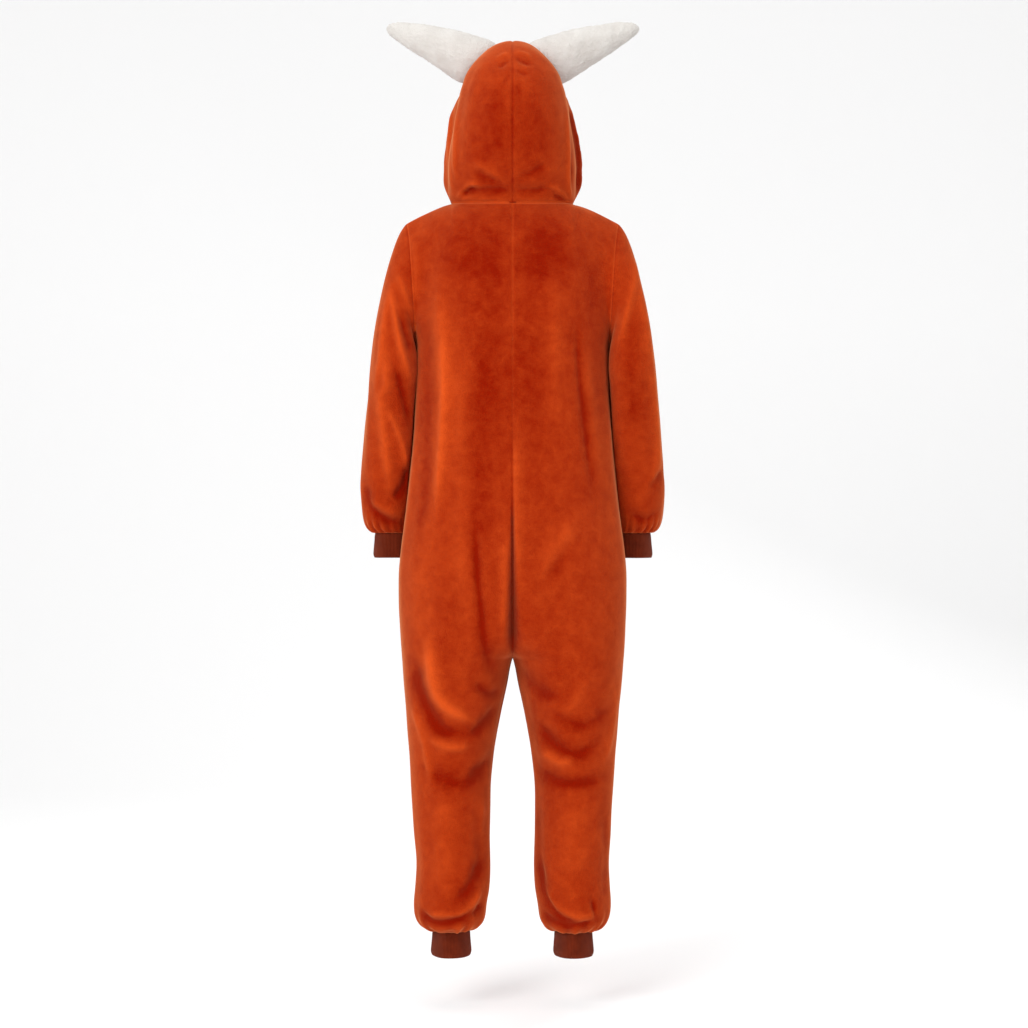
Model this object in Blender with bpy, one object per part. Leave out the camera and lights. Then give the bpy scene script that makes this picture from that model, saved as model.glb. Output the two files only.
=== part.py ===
"""A hooded one-piece plush suit with two stuffed horns, held open and hollow as when it is worn.

Units are metres. +X is the wearer's right, +Y the wearer's front and +Z is up. The origin lies midway
between the two high shoulder points, where the neck seam crosses the shoulder seams.

Every cloth piece is a grid of points on the suit's outside. A row of a grid runs round the body and a
column runs down it. Each grid becomes a wall by adding a second layer of points, one cloth thickness in.
"""

import math

import bmesh
import bpy
import numpy as np
from mathutils import Matrix, Vector

CLOTH = 0.003
CUFF_CLOTH = 0.0025
SEAM_GAP = 0.0003

PANEL_COLUMNS = 12
NECK_COLUMNS = 6
YOKE_ROWS = 12
SLEEVE_CAP_ROWS = 6
FINE_STEPS = 240

NECK_HALF_WIDTH = 0.107
NECK_BACK = (0.068, -0.006)
NECK_FRONT = (0.080, -0.056)
SHOULDER_TIP = Vector((0.186, 0.0, -0.034))
SHOULDER_BEND = 1.35

PLACKET_HALF_WIDTH = 0.0175
PLACKET_CLOTH = 0.0025
PLACKET_END = -0.700
PLACKET_TOP_SETBACK = 0.0015
BUTTON_RADIUS = 0.0095
BUTTON_THICK = 0.004
BUTTON_RIM = 0.0012
BUTTON_COUNT = 6
BUTTON_FIRST = -0.085
BUTTON_LAST = -0.640

ANKLE_CUFF_DROP = (0.0, 0.014, 0.030, 0.0445)
WRIST_CUFF_DROP = (0.0, 0.013, 0.028, 0.043)
CUFF_BULGE = 0.0012
GATHER_RISE = {"leg": (0.0012, 0.0026, 0.0028), "sleeve": (0.0010, 0.0022, 0.0026)}

# The trunk and legs from the underarm down, one row for each section of one half of the suit.
# z: height. outer: side seam from the centre plane. inner: inside edge of the leg from the centre plane,
# negative where the two legs are still one trunk. back, front: depth from the side seam's plane.
# square: 2 is an ellipse, more is squarer.
BODY = (
    # z, outer, inner, side_y, back, front, square
    (-0.2500, 0.1680, -0.1680, 0.000, 0.122, 0.114, 2.35),
    (-0.3000, 0.1690, -0.1690, 0.000, 0.124, 0.118, 2.35),
    (-0.3600, 0.1715, -0.1715, 0.000, 0.125, 0.122, 2.35),
    (-0.4250, 0.1750, -0.1750, 0.000, 0.125, 0.125, 2.35),
    (-0.4900, 0.1810, -0.1810, -0.002, 0.126, 0.126, 2.35),
    (-0.5500, 0.1880, -0.1800, -0.004, 0.130, 0.125, 2.30),
    (-0.6050, 0.1945, -0.1665, -0.005, 0.133, 0.122, 2.30),
    (-0.6550, 0.1985, -0.1445, -0.005, 0.134, 0.118, 2.30),
    (-0.7000, 0.1990, -0.1150, -0.004, 0.132, 0.114, 2.25),
    (-0.7380, 0.1975, -0.0815, -0.003, 0.129, 0.112, 2.25),
    (-0.7660, 0.1958, -0.0458, -0.002, 0.1260, 0.1102, 2.23),
    (-0.7850, 0.1943, -0.0143, -0.001, 0.1236, 0.1091, 2.22),
    (-0.7910, 0.1938, -0.0040, -0.001, 0.1228, 0.1087, 2.22),
    (-0.7930, 0.1936, 0.0000, -0.001, 0.1225, 0.1086, 2.22),
    (-0.8060, 0.1926, 0.0040, -0.001, 0.1208, 0.1078, 2.21),
    (-0.8350, 0.1905, 0.0090, 0.000, 0.1165, 0.1056, 2.20),
    (-0.8750, 0.1870, 0.0175, 0.000, 0.1100, 0.1020, 2.18),
    (-0.9200, 0.1840, 0.0255, 0.000, 0.1030, 0.0972, 2.15),
    (-0.9700, 0.1795, 0.0330, 0.000, 0.0962, 0.0920, 2.12),
    (-1.0300, 0.1765, 0.0388, -0.002, 0.090, 0.086, 2.10),
    (-1.0950, 0.1732, 0.0392, -0.005, 0.086, 0.081, 2.10),
    (-1.1550, 0.1680, 0.0378, -0.008, 0.082, 0.077, 2.10),
    (-1.1950, 0.1700, 0.0398, -0.010, 0.082, 0.078, 2.10),
    (-1.2250, 0.1722, 0.0445, -0.010, 0.083, 0.080, 2.10),
    (-1.2450, 0.1708, 0.0462, -0.010, 0.081, 0.079, 2.10),
    (-1.2590, 0.1650, 0.0505, -0.010, 0.073, 0.071, 2.05),
    (-1.2690, 0.1560, 0.0600, -0.010, 0.061, 0.060, 2.00),
    (-1.2735, 0.1405, 0.0735, -0.010, 0.047, 0.047, 2.00),
)
# Between these heights the sections grow fast where the legs part. There the columns from this one out
# keep an even pace from the side seam, and those inside it share what is left.
CROTCH_BAND = (-0.700, -0.920)
CROTCH_COLUMN = 4

# How each yoke column leaves its top point and arrives at the underarm section: at the centre line,
# at the high shoulder point and at the armhole. Distances backwards count towards the panel's own side.
YOKE = {
    # part of the panel: leave sideways, out, down; arrive sideways, out, up
    "back": (
        (0.000, 0.036, 0.050, 0.000, 0.000, 0.090),
        (0.000, 0.104, 0.012, 0.000, 0.000, 0.080),
        (-0.010, 0.070, 0.045, 0.000, 0.095, 0.045),
    ),
    "front": (
        (0.000, 0.016, 0.050, 0.000, 0.000, 0.060),
        (0.000, 0.092, 0.014, 0.000, 0.000, 0.080),
        (-0.012, 0.066, 0.045, 0.000, 0.088, 0.048),
    ),
}
ARMHOLE_HOLD = 3

# The sleeve from just below the underarm down to the cuff. outer: the sleeve's outside from the centre
# plane. half: half its width. middle: how far forward its middle lies. deep: half its depth.
SLEEVE = (
    # z, outer, half, middle, deep
    (-0.2900, 0.2500, 0.0390, 0.006, 0.080),
    (-0.3350, 0.2540, 0.0410, 0.014, 0.077),
    (-0.3800, 0.2585, 0.0430, 0.024, 0.074),
    (-0.4250, 0.2628, 0.0450, 0.034, 0.072),
    (-0.4650, 0.2675, 0.0465, 0.044, 0.071),
    (-0.5000, 0.2705, 0.0475, 0.053, 0.070),
    (-0.5280, 0.2690, 0.0460, 0.060, 0.068),
    (-0.5480, 0.2665, 0.0440, 0.065, 0.063),
    (-0.5620, 0.2625, 0.0405, 0.068, 0.057),
    (-0.5720, 0.2560, 0.0370, 0.070, 0.050),
    (-0.5770, 0.2455, 0.0325, 0.070, 0.043),
)
SLEEVE_CLEAR = 0.0035

# The hood above the neck seam. half: half width. back, front: how far the centre seam lies behind and
# before the origin. face: half width of the face opening, 0 where the hood is closed in front.
# puff: share of the soft roll beside the face. drop: how much lower the section runs at the front.
HOOD = (
    # z, half, back, front, face, puff, drop
    (0.0120, 0.1125, 0.078, 0.094, 0.030, 0.15, 0.040),
    (0.0300, 0.1175, 0.092, 0.111, 0.047, 0.45, 0.028),
    (0.0550, 0.1215, 0.106, 0.126, 0.062, 0.80, 0.014),
    (0.0850, 0.1220, 0.117, 0.135, 0.073, 1.00, 0.004),
    (0.1150, 0.1182, 0.123, 0.138, 0.078, 1.00, 0.000),
    (0.1450, 0.1125, 0.125, 0.139, 0.077, 0.95, 0.000),
    (0.1720, 0.1058, 0.122, 0.138, 0.071, 0.80, 0.000),
    (0.1950, 0.0990, 0.116, 0.135, 0.059, 0.55, 0.000),
    (0.2120, 0.0905, 0.109, 0.131, 0.044, 0.30, 0.000),
    (0.2220, 0.0852, 0.103, 0.128, 0.027, 0.10, 0.000),
    (0.2270, 0.0822, 0.099, 0.126, 0.000, 0.05, 0.000),
    (0.2400, 0.0735, 0.088, 0.120, 0.000, 0.00, 0.000),
    (0.2540, 0.0620, 0.073, 0.109, 0.000, 0.00, 0.000),
    (0.2660, 0.0500, 0.056, 0.095, 0.000, 0.00, 0.000),
    (0.2750, 0.0390, 0.038, 0.079, 0.000, 0.00, 0.000),
    (0.2810, 0.0280, 0.020, 0.061, 0.000, 0.00, 0.000),
    (0.2845, 0.0150, 0.004, 0.045, 0.000, 0.00, 0.000),
    (0.2858, 0.0000, -0.002, 0.038, 0.000, 0.00, 0.000),
)
HOOD_SQUARE = 2.3
PUFF_Y = 0.075
PUFF_REACH = 0.028
PUFF_INSET = 0.012
PUFF_FILL = 1.25
DROP_REACH = 0.09

# A horn along its own axis, from its seat on the hood to its tip.
HORN_ROOT = Vector((0.0618, 0.042, 0.2540))
HORN_AXIS = Vector((0.933, 0.03, 0.359)).normalized()
HORN_FLATNESS = 0.84
HORN_SIDES = 20
HORN_SEAT_GAP = 0.0012
HORN = (
    # along, radius, lift
    (0.030, 0.0432, 0.0016),
    (0.056, 0.0385, 0.0034),
    (0.083, 0.0330, 0.0044),
    (0.108, 0.0275, 0.0042),
    (0.132, 0.0222, 0.0040),
    (0.151, 0.0170, 0.0032),
    (0.164, 0.0115, 0.0026),
    (0.1715, 0.0062, 0.0022),
)
HORN_TIP = (0.1745, 0.0022)
HORN_SEAT_RADIUS = 0.0452
HORN_SEAT_RINGS = (1.0, 0.75, 0.5, 0.25)

# The largest folds. A fold follows two straight runs over the suit as seen from behind, x to the
# wearer's right and z up. rise: above 0 a ridge, below 0 a trough. reach: its half width.
# face: -1 lies on the back, 1 on the front.
FOLDS = (
    # x1, z1, x2, z2, x3, z3, rise, reach, face
    (-0.133, -0.140, -0.119, -0.330, -0.131, -0.560, 0.006, 0.022, -1),
    (-0.062, -0.280, -0.063, -0.560, -0.045, -0.790, -0.007, 0.020, -1),
    (0.110, -0.200, 0.120, -0.380, 0.142, -0.540, -0.006, 0.018, -1),
    (0.068, -0.130, 0.073, -0.300, 0.060, -0.480, 0.004, 0.026, -1),
    (-0.142, -0.810, -0.116, -0.890, -0.060, -0.912, 0.007, 0.022, -1),
    (-0.172, -0.800, -0.130, -0.915, -0.090, -0.930, -0.006, 0.020, -1),
    (-0.076, -0.935, -0.045, -0.905, -0.028, -0.880, -0.006, 0.018, -1),
    (0.045, -0.915, 0.085, -0.955, 0.140, -0.950, -0.007, 0.020, -1),
    (0.040, -0.975, 0.062, -1.005, 0.095, -1.030, -0.005, 0.020, -1),
    (0.120, -0.850, 0.090, -0.900, 0.060, -0.880, 0.005, 0.022, -1),
    (-0.160, -1.240, -0.130, -1.255, -0.090, -1.246, -0.004, 0.012, -1),
    (0.040, -1.140, 0.060, -1.225, 0.120, -1.255, -0.005, 0.014, -1),
    (-0.213, -0.130, -0.200, -0.200, -0.180, -0.260, 0.004, 0.014, -1),
    (-0.225, -0.230, -0.228, -0.360, -0.210, -0.500, 0.005, 0.015, -1),
    (0.212, -0.130, 0.205, -0.200, 0.185, -0.250, 0.004, 0.014, -1),
    (0.226, -0.200, 0.240, -0.360, 0.216, -0.520, 0.005, 0.015, -1),
    (-0.090, -0.180, -0.080, -0.380, -0.110, -0.620, 0.006, 0.024, 1),
    (0.090, -0.190, 0.084, -0.400, 0.105, -0.640, 0.006, 0.024, 1),
    (-0.150, -0.820, -0.110, -0.900, -0.060, -0.890, -0.006, 0.022, 1),
    (0.150, -0.830, 0.110, -0.920, 0.060, -0.905, -0.006, 0.022, 1),
    (-0.150, -1.000, -0.110, -1.040, -0.070, -1.020, -0.005, 0.020, 1),
    (0.150, -1.010, 0.110, -1.050, 0.070, -1.030, -0.005, 0.020, 1),
    (-0.230, -0.250, -0.220, -0.400, -0.200, -0.500, 0.005, 0.015, 1),
    (0.230, -0.250, 0.222, -0.400, 0.200, -0.500, 0.005, 0.015, 1),
)

RUST = (0.50, 0.055, 0.010, 1.0)
BROWN = (0.085, 0.022, 0.012, 1.0)
CREAM = (0.80, 0.76, 0.71, 1.0)
DARK = (0.050, 0.018, 0.010, 1.0)


def clear_scene():
    for old in list(bpy.data.objects):
        bpy.data.objects.remove(old, do_unlink=True)


def plain_material(name, color, roughness):
    material = bpy.data.materials.new(name)
    material.use_nodes = True
    shader = material.node_tree.nodes["Principled BSDF"]
    shader.inputs["Base Color"].default_value = color
    shader.inputs["Roughness"].default_value = roughness
    shader.inputs["Metallic"].default_value = 0.0
    return material


def unit(vectors):
    length = np.linalg.norm(vectors, axis=-1, keepdims=True)
    return vectors / np.maximum(length, 1e-12)


def signed_power(values, power):
    return np.sign(values) * np.abs(values) ** power


def spaced(curve, marks):
    """Points at these shares of a finely sampled curve's length."""
    steps = np.linalg.norm(np.diff(curve, axis=0), axis=1)
    along = np.concatenate([[0.0], np.cumsum(steps)])
    wanted = np.asarray(marks) * along[-1]
    return np.stack([np.interp(wanted, along, curve[:, axis]) for axis in range(3)], axis=1)


def curve_length(curve):
    return float(np.linalg.norm(np.diff(curve, axis=0), axis=1).sum())


def column_marks(curve, columns, first=None):
    """Even shares of the curve, or a first strip of a given width and even shares after it."""
    if first is None:
        return np.linspace(0.0, 1.0, columns + 1)
    start = first / curve_length(curve)
    return np.concatenate([[0.0], np.linspace(start, 1.0, columns)])


def crotch_marks(marks, length, even_length, fixed):
    """Moves the outer columns to where they lie on a curve of the even length, measured from its far end.

    The first columns up to the fixed one keep their places, and those between share the rest evenly.
    """
    moved = 1.0 - (1.0 - marks) * even_length / length
    moved[: fixed + 1] = marks[: fixed + 1]
    moved[fixed : CROTCH_COLUMN + 1] = np.linspace(
        moved[fixed], moved[CROTCH_COLUMN], CROTCH_COLUMN + 1 - fixed
    )
    return moved


def bezier(start, leave, arrive, end, share):
    rest = 1.0 - share
    weights = (rest**3, 3 * rest**2 * share, 3 * rest * share**2, share**3)
    return sum(w * np.asarray(p) for w, p in zip(weights, (start, leave, arrive, end)))


def body_section(row, face):
    """Half a section of the trunk or leg, from the centre seam or inseam round to the side seam."""
    z, outer, inner, side_y, back, front, square = row
    centre, half = (outer + inner) / 2, (outer - inner) / 2
    deep = back if face < 0 else front
    first = math.acos(min(1.0, (centre / half) ** (square / 2))) if inner < 0 else 0.0
    turn = np.linspace(first, math.pi, FINE_STEPS)
    x = centre - half * signed_power(np.cos(turn), 2 / square)
    y = side_y + face * deep * np.abs(np.sin(turn)) ** (2 / square)
    x[0] = max(inner, 0.0)
    y[-1] = side_y
    if inner >= 0:
        y[0] = side_y
    return np.stack([x, y, np.full_like(x, z)], axis=1)


def neck_and_shoulder(face, first):
    """The top edge of a panel: the neck curve out to the high shoulder point, then the shoulder seam."""
    deep, low = NECK_BACK if face < 0 else NECK_FRONT
    turn = np.linspace(0.0, math.pi / 2, FINE_STEPS)
    neck = np.stack(
        [
            NECK_HALF_WIDTH * np.sin(turn),
            face * deep * np.cos(turn),
            low * np.cos(turn) ** 1.6,
        ],
        axis=1,
    )
    neck[-1] = (NECK_HALF_WIDTH, 0.0, 0.0)
    share = np.linspace(0.0, 1.0, FINE_STEPS)
    shoulder = np.stack(
        [
            NECK_HALF_WIDTH + (SHOULDER_TIP.x - NECK_HALF_WIDTH) * share,
            np.zeros_like(share),
            SHOULDER_TIP.z * share**SHOULDER_BEND,
        ],
        axis=1,
    )
    inner = spaced(neck, column_marks(neck, NECK_COLUMNS, first))
    outer = spaced(shoulder, column_marks(shoulder, PANEL_COLUMNS - NECK_COLUMNS))
    return np.concatenate([inner, outer[1:]])


def body_panel(face):
    """A back or front panel of the right half, from neck and shoulder down to the ankle hem."""
    first = PLACKET_HALF_WIDTH if face > 0 else None
    curves = {row[0]: body_section(row, face) for row in BODY}
    band_lengths = [curve_length(curves[z]) for z in CROTCH_BAND]
    sections = []
    for z, curve in curves.items():
        marks = column_marks(curve, PANEL_COLUMNS, first)
        if CROTCH_BAND[1] < z < CROTCH_BAND[0]:
            even_length = np.interp(-z, np.negative(CROTCH_BAND), band_lengths)
            fixed = 0 if first is None else 1
            marks = crotch_marks(marks, curve_length(curve), even_length, fixed)
        sections.append(spaced(curve, marks))
    top, underarm = neck_and_shoulder(face, first), sections[0]
    centre, high_point, armhole = np.array(YOKE["back" if face < 0 else "front"])
    yoke = np.zeros((YOKE_ROWS, PANEL_COLUMNS + 1, 3))
    for column in range(PANEL_COLUMNS + 1):
        by_neck = min(1.0, column / NECK_COLUMNS) ** 2
        past_neck = max(0.0, (column - NECK_COLUMNS) / (PANEL_COLUMNS - NECK_COLUMNS))
        settings = centre + by_neck * (high_point - centre) + past_neck * (armhole - high_point)
        side, out, down, side_end, _, up = settings
        out_end = armhole[4] * past_neck**ARMHOLE_HOLD
        start, end = top[column], underarm[column]
        leave = start + np.array([side, face * out, -down])
        arrive = end + np.array([side_end, face * out_end, up])
        for row in range(YOKE_ROWS):
            yoke[row, column] = bezier(start, leave, arrive, end, row / YOKE_ROWS)
    return np.concatenate([yoke, np.array(sections)])


def trunk_side(y, z):
    """How far out the trunk's side lies at these places."""
    rows = np.array(BODY)[::-1]
    outer, side_y, back, front, square = (
        np.interp(z, rows[:, 0], rows[:, column]) for column in (1, 3, 4, 5, 6)
    )
    deep = np.where(y < side_y, back, front)
    share = np.clip(np.abs(y - side_y) / deep, 0.0, 1.0)
    return outer * (1.0 - share**square) ** (1.0 / square)


def sleeve_grid(back, front):
    """A sleeve from the armhole to the cuff seam. Columns go from the top round the back."""
    turns = 2 * math.pi * np.arange(2 * PANEL_COLUMNS) / (2 * PANEL_COLUMNS)
    rings = []
    for z, outer, half, middle, deep in SLEEVE:
        x = outer - half + half * np.cos(turns)
        y = middle - deep * np.sin(turns)
        x = np.maximum(x, trunk_side(y, np.full_like(y, z)) + SLEEVE_CLEAR)
        rings.append(np.stack([x, y, np.full_like(x, z)], axis=1))
    edge = np.concatenate([back[: YOKE_ROWS + 1, -1], front[1:YOKE_ROWS, -1][::-1]])
    upper = np.maximum(np.cos(turns), 0.0)[:, None]
    lower = np.maximum(-np.cos(turns), 0.0)[:, None]
    side = np.abs(np.sin(turns))[:, None]
    leave = edge + side * np.array([0.020, 0.0, -0.004]) + upper * np.array([0.021, 0.0, -0.009])
    leave = leave + lower * np.array([0.004, 0.0, -0.012])
    arrive = rings[0] + side * np.array([0.0, 0.0, 0.085]) + lower * np.array([0.0, 0.0, 0.012])
    arrive = arrive + upper**2 * np.array([-0.008, 0.0, 0.085])
    cap = [bezier(edge, leave, arrive, rings[0], row / SLEEVE_CAP_ROWS) for row in range(SLEEVE_CAP_ROWS)]
    return np.array(cap + rings)


def hood_reach(y, half, back, front, puff):
    """How far out the hood's side lies at y: the head's own round, and the soft roll beside the face."""
    middle, deep = (front - back) / 2, (front + back) / 2
    head = half - PUFF_INSET * puff

    def round_part(y):
        share = np.clip(np.abs(y - middle) / deep, 0.0, 1.0)
        return head * (1.0 - share**HOOD_SQUARE) ** (1.0 / HOOD_SQUARE)

    roll = (half - round_part(PUFF_Y)) * min(1.0, PUFF_FILL * puff)
    x = round_part(y)
    return x + roll * np.exp(-(((y - PUFF_Y) / PUFF_REACH) ** 2)) * (x > 0)


def hood_section(row):
    z, half, back, front, face, puff, drop = row
    middle, deep = (front - back) / 2, (front + back) / 2
    turn = np.linspace(0.0, math.pi, FINE_STEPS)
    y = middle - deep * signed_power(np.cos(turn), 2 / HOOD_SQUARE)
    x = hood_reach(y, half, back, front, puff)
    x[0] = 0.0
    keep = (y < middle) | (x >= face)
    lower = np.clip(y / DROP_REACH, 0.0, 1.0) ** 2
    curve = np.stack([x, y, z - drop * lower], axis=1)[keep]
    if face == 0.0:
        curve[-1, 0] = 0.0
    return spaced(curve, column_marks(curve, 2 * NECK_COLUMNS))


def hood_grid(back, front):
    """Half the hood, from the neck seam up. Columns go from the centre back to the face edge."""
    neck = np.concatenate([back[0, : NECK_COLUMNS + 1], front[0, :NECK_COLUMNS][::-1]])
    return np.array([neck] + [hood_section(row) for row in HOOD])


def cuff_grid(ring, drops):
    """A knit cuff hanging from the last ring of a sleeve or leg, waisted out a little at mid height."""
    centre = ring.mean(axis=0)
    rows = []
    for drop in drops:
        share = drop / drops[-1]
        spread = 1 + CUFF_BULGE * math.sin(math.pi * share) / abs(ring[0] - centre).max()
        rows.append(centre + (ring - centre) * spread - np.array([0.0, 0.0, drop]))
    return np.array(rows)


def grid_normals(points, ring, outward):
    """Unit normals of a grid, pointing to the side that outward says."""
    down = np.gradient(points, axis=0)
    if ring:
        across = (np.roll(points, -1, axis=1) - np.roll(points, 1, axis=1)) / 2
    else:
        across = np.gradient(points, axis=1)
    return unit(outward * np.cross(across, down))


def fold_rise(points, normals):
    """How far each point stands out or in for the folds that pass it."""
    rise = np.zeros(points.shape[:-1])
    flat = points[..., [0, 2]]
    for x1, z1, x2, z2, x3, z3, height, reach, face in FOLDS:
        nearest = np.full(points.shape[:-1], np.inf)
        for start, end in (((x1, z1), (x2, z2)), ((x2, z2), (x3, z3))):
            start, run = np.array(start), np.subtract(end, start)
            share = np.clip(((flat - start) @ run) / (run @ run), 0.0, 1.0)
            gap = np.linalg.norm(flat - start - share[..., None] * run, axis=-1)
            nearest = np.minimum(nearest, gap)
        facing = np.clip(1.6 * face * normals[..., 1], 0.0, 1.0)
        rise += height * facing * np.exp(-((nearest / reach) ** 2))
    return rise


def gathered(points, normals, rises, last_rows):
    """Small pleats above a cuff: every second column stands out and the others draw in."""
    wave = np.cos(math.pi * np.arange(points.shape[1]))[:, None]
    for row, rise in zip(last_rows, rises):
        points[row] += rise * wave * normals[row]
    return points


class Suit:
    """One half of the suit: its grids, and the normals that pieces share where they are sewn."""

    def __init__(self, side):
        self.side = side
        back, front = body_panel(-1), body_panel(1)
        sleeve = sleeve_grid(back, front)
        legs = np.concatenate([back[-1], front[-1, 1:-1][::-1]])
        self.grids = {
            "back": back,
            "front": front,
            "sleeve": sleeve,
            "hood": hood_grid(back, front),
            "wrist_cuff": cuff_grid(sleeve[-1], WRIST_CUFF_DROP),
            "ankle_cuff": cuff_grid(legs, ANKLE_CUFF_DROP),
        }
        self.rings = {"sleeve", "wrist_cuff", "ankle_cuff"}
        # Which way round each grid's rows and columns run, seen from outside, on the right half.
        self.turns = {"back": -1, "front": 1, "sleeve": 1, "hood": 1, "wrist_cuff": 1, "ankle_cuff": -1}
        self.keys = {name: np.round(grid, 6) for name, grid in self.grids.items()}
        self.underarm = tuple(self.keys["back"][YOKE_ROWS, -1])
        for grid in self.grids.values():
            grid[..., 0] *= side
        self.normals = self.shared_normals()
        self.shape_folds()
        self.normals = self.shared_normals()

    def shared_normals(self):
        normals = {
            name: grid_normals(grid, name in self.rings, self.side * self.turns[name])
            for name, grid in self.grids.items()
        }
        meeting = {}
        for name, keys in self.keys.items():
            group = "body" if name in ("back", "front") else name
            for index in np.ndindex(keys.shape[:2]):
                groups = meeting.setdefault(tuple(keys[index]), {})
                groups[group] = groups.get(group, 0.0) + normals[name][index]
        shared = {key: unit(sum(map(unit, groups.values()))) for key, groups in meeting.items()}
        for key in shared:
            if key[0] == 0.0:
                shared[key][0] = 0.0
        shared[self.underarm] = np.array([0.0, 0.0, -1.0])
        for name, keys in self.keys.items():
            for index in np.ndindex(keys.shape[:2]):
                normals[name][index] = unit(shared[tuple(keys[index])])
        return normals

    def shape_folds(self):
        for name in ("back", "front", "sleeve"):
            grid, normals = self.grids[name], self.normals[name]
            grid += fold_rise(grid, normals)[..., None] * normals
            kind = "sleeve" if name == "sleeve" else "leg"
            gathered(grid, normals, GATHER_RISE[kind], (-4, -3, -2))


def set_back(layers, ring, middle_edge, gap):
    """Draws a wall's edges in by this gap, so that two walls sewn together don't touch."""
    outer = layers[0]
    shift = np.zeros_like(outer)
    shift[0] += gap * unit(outer[1] - outer[0])
    shift[-1] += gap * unit(outer[-2] - outer[-1])
    if not ring:
        shift[:, 0] += gap * unit(outer[:, 1] - outer[:, 0])
        shift[:, -1] += gap * unit(outer[:, -2] - outer[:, -1])
    moved = [layer + shift for layer in layers]
    for layer in moved:
        if middle_edge:
            layer[..., 0] = middle_edge * np.maximum(middle_edge * layer[..., 0], SEAM_GAP / 2)
    return moved


def wall_object(name, outer, inner, ring, material):
    """A closed wall between two layers of points."""
    rows, columns = outer.shape[:2]
    mesh = bmesh.new()
    corners = [
        [[mesh.verts.new(point) for point in row] for row in layer.tolist()] for layer in (outer, inner)
    ]
    last = columns if ring else columns - 1
    for row in range(rows - 1):
        for column in range(last):
            after = (column + 1) % columns
            for layer in corners:
                upper, lower = layer[row], layer[row + 1]
                mesh.faces.new((upper[column], upper[after], lower[after], lower[column]))
    front, back = corners
    for row in (0, rows - 1):
        for column in range(last):
            after = (column + 1) % columns
            mesh.faces.new((front[row][column], front[row][after], back[row][after], back[row][column]))
    if not ring:
        for column in (0, columns - 1):
            for row in range(rows - 1):
                mesh.faces.new(
                    (front[row][column], front[row + 1][column], back[row + 1][column], back[row][column])
                )
    # Walls that lie on each other split their uneven quads along the same, shorter diagonals.
    bmesh.ops.triangulate(mesh, faces=mesh.faces, quad_method="SHORT_EDGE")
    return finished(name, mesh, material)


def finished(name, mesh, material):
    bmesh.ops.recalc_face_normals(mesh, faces=mesh.faces)
    data = bpy.data.meshes.new(name)
    mesh.to_mesh(data)
    mesh.free()
    data.shade_smooth()
    data.set_sharp_from_angle(angle=math.radians(50))
    data.materials.append(material)
    piece = bpy.data.objects.new(name, data)
    bpy.context.scene.collection.objects.link(piece)
    return piece


def cloth_pieces(suit, hand, materials):
    for name, grid in suit.grids.items():
        ring = name in suit.rings
        cuff = name.endswith("cuff")
        thick = CUFF_CLOTH if cuff else CLOTH
        middle = suit.side if name in ("back", "front", "hood") else 0
        gap = SEAM_GAP if cuff else SEAM_GAP / 2
        layers = set_back([grid, grid - thick * suit.normals[name]], ring, middle, gap)
        material = materials["knit" if cuff else "plush"]
        wall_object(f"{name}_{hand}", layers[0], layers[1], ring, material)


def placket(right, left, material):
    """The closing strip down the front: the panels' own first strips, moved out."""
    grid, mirror = right.grids["front"], left.grids["front"]
    rows = [row for row in range(len(grid)) if grid[row, 0, 2] > PLACKET_END - SEAM_GAP]
    points = np.array([[mirror[row, 1], grid[row, 0], grid[row, 1]] for row in rows])
    normals = np.array(
        [
            [left.normals["front"][row, 1], right.normals["front"][row, 0], right.normals["front"][row, 1]]
            for row in rows
        ]
    )
    points[:, 1, 0] = 0.0
    points[0] += PLACKET_TOP_SETBACK * unit(points[1] - points[0])
    inner = points + SEAM_GAP * normals
    outer = points + (SEAM_GAP + PLACKET_CLOTH) * normals
    wall_object("placket", outer, inner, False, material)
    return outer[:, 1], normals[:, 1]


def buttons(line, normals, material):
    heights = line[::-1, 2]
    for index in range(BUTTON_COUNT):
        z = BUTTON_FIRST + (BUTTON_LAST - BUTTON_FIRST) * index / (BUTTON_COUNT - 1)
        y = np.interp(z, heights, line[::-1, 1])
        up = Vector([np.interp(z, heights, normals[::-1, axis]) for axis in range(3)]).normalized()
        centre = Vector((0.0, y, z)) + up * (2 * SEAM_GAP + BUTTON_THICK / 2)
        mesh = bmesh.new()
        bmesh.ops.create_cone(
            mesh,
            cap_ends=True,
            segments=20,
            radius1=BUTTON_RADIUS,
            radius2=BUTTON_RADIUS,
            depth=BUTTON_THICK,
        )
        rim = [edge for edge in mesh.edges if all(vert.co.z > 0 for vert in edge.verts)]
        bmesh.ops.bevel(mesh, geom=rim, offset=BUTTON_RIM, segments=2, profile=0.5, affect="EDGES")
        turn = up.to_track_quat("Z", "Y").to_matrix().to_4x4()
        bmesh.ops.transform(mesh, matrix=Matrix.Translation(centre) @ turn, verts=mesh.verts)
        finished(f"button_{index + 1}", mesh, material)


def hood_outside(point):
    """Below 0 inside the closed part of the hood, above 0 outside it."""
    rows = np.array(HOOD)
    half, back, front, puff = (np.interp(point.z, rows[:, 0], rows[:, column]) for column in (1, 2, 3, 5))
    if point.z >= HOOD[-1][0] or not -back < point.y < front:
        return 1.0
    return abs(point.x) - hood_reach(point.y, half, back, front, puff)


def on_hood(point, side):
    """Slides a point along the horn's axis until it lies on the hood."""
    near, far = point - 0.09 * HORN_AXIS, point + 0.05 * HORN_AXIS
    for _ in range(40):
        middle = (near + far) / 2
        if hood_outside(middle) < 0.0:
            near = middle
        else:
            far = middle
    steps = [Vector([SEAM_GAP * (axis == way) for axis in range(3)]) for way in range(3)]
    outward = Vector([hood_outside(near + step) - hood_outside(near - step) for step in steps])
    lifted = far + HORN_SEAT_GAP * outward.normalized()
    return Vector((side * lifted.x, lifted.y, lifted.z))


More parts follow.
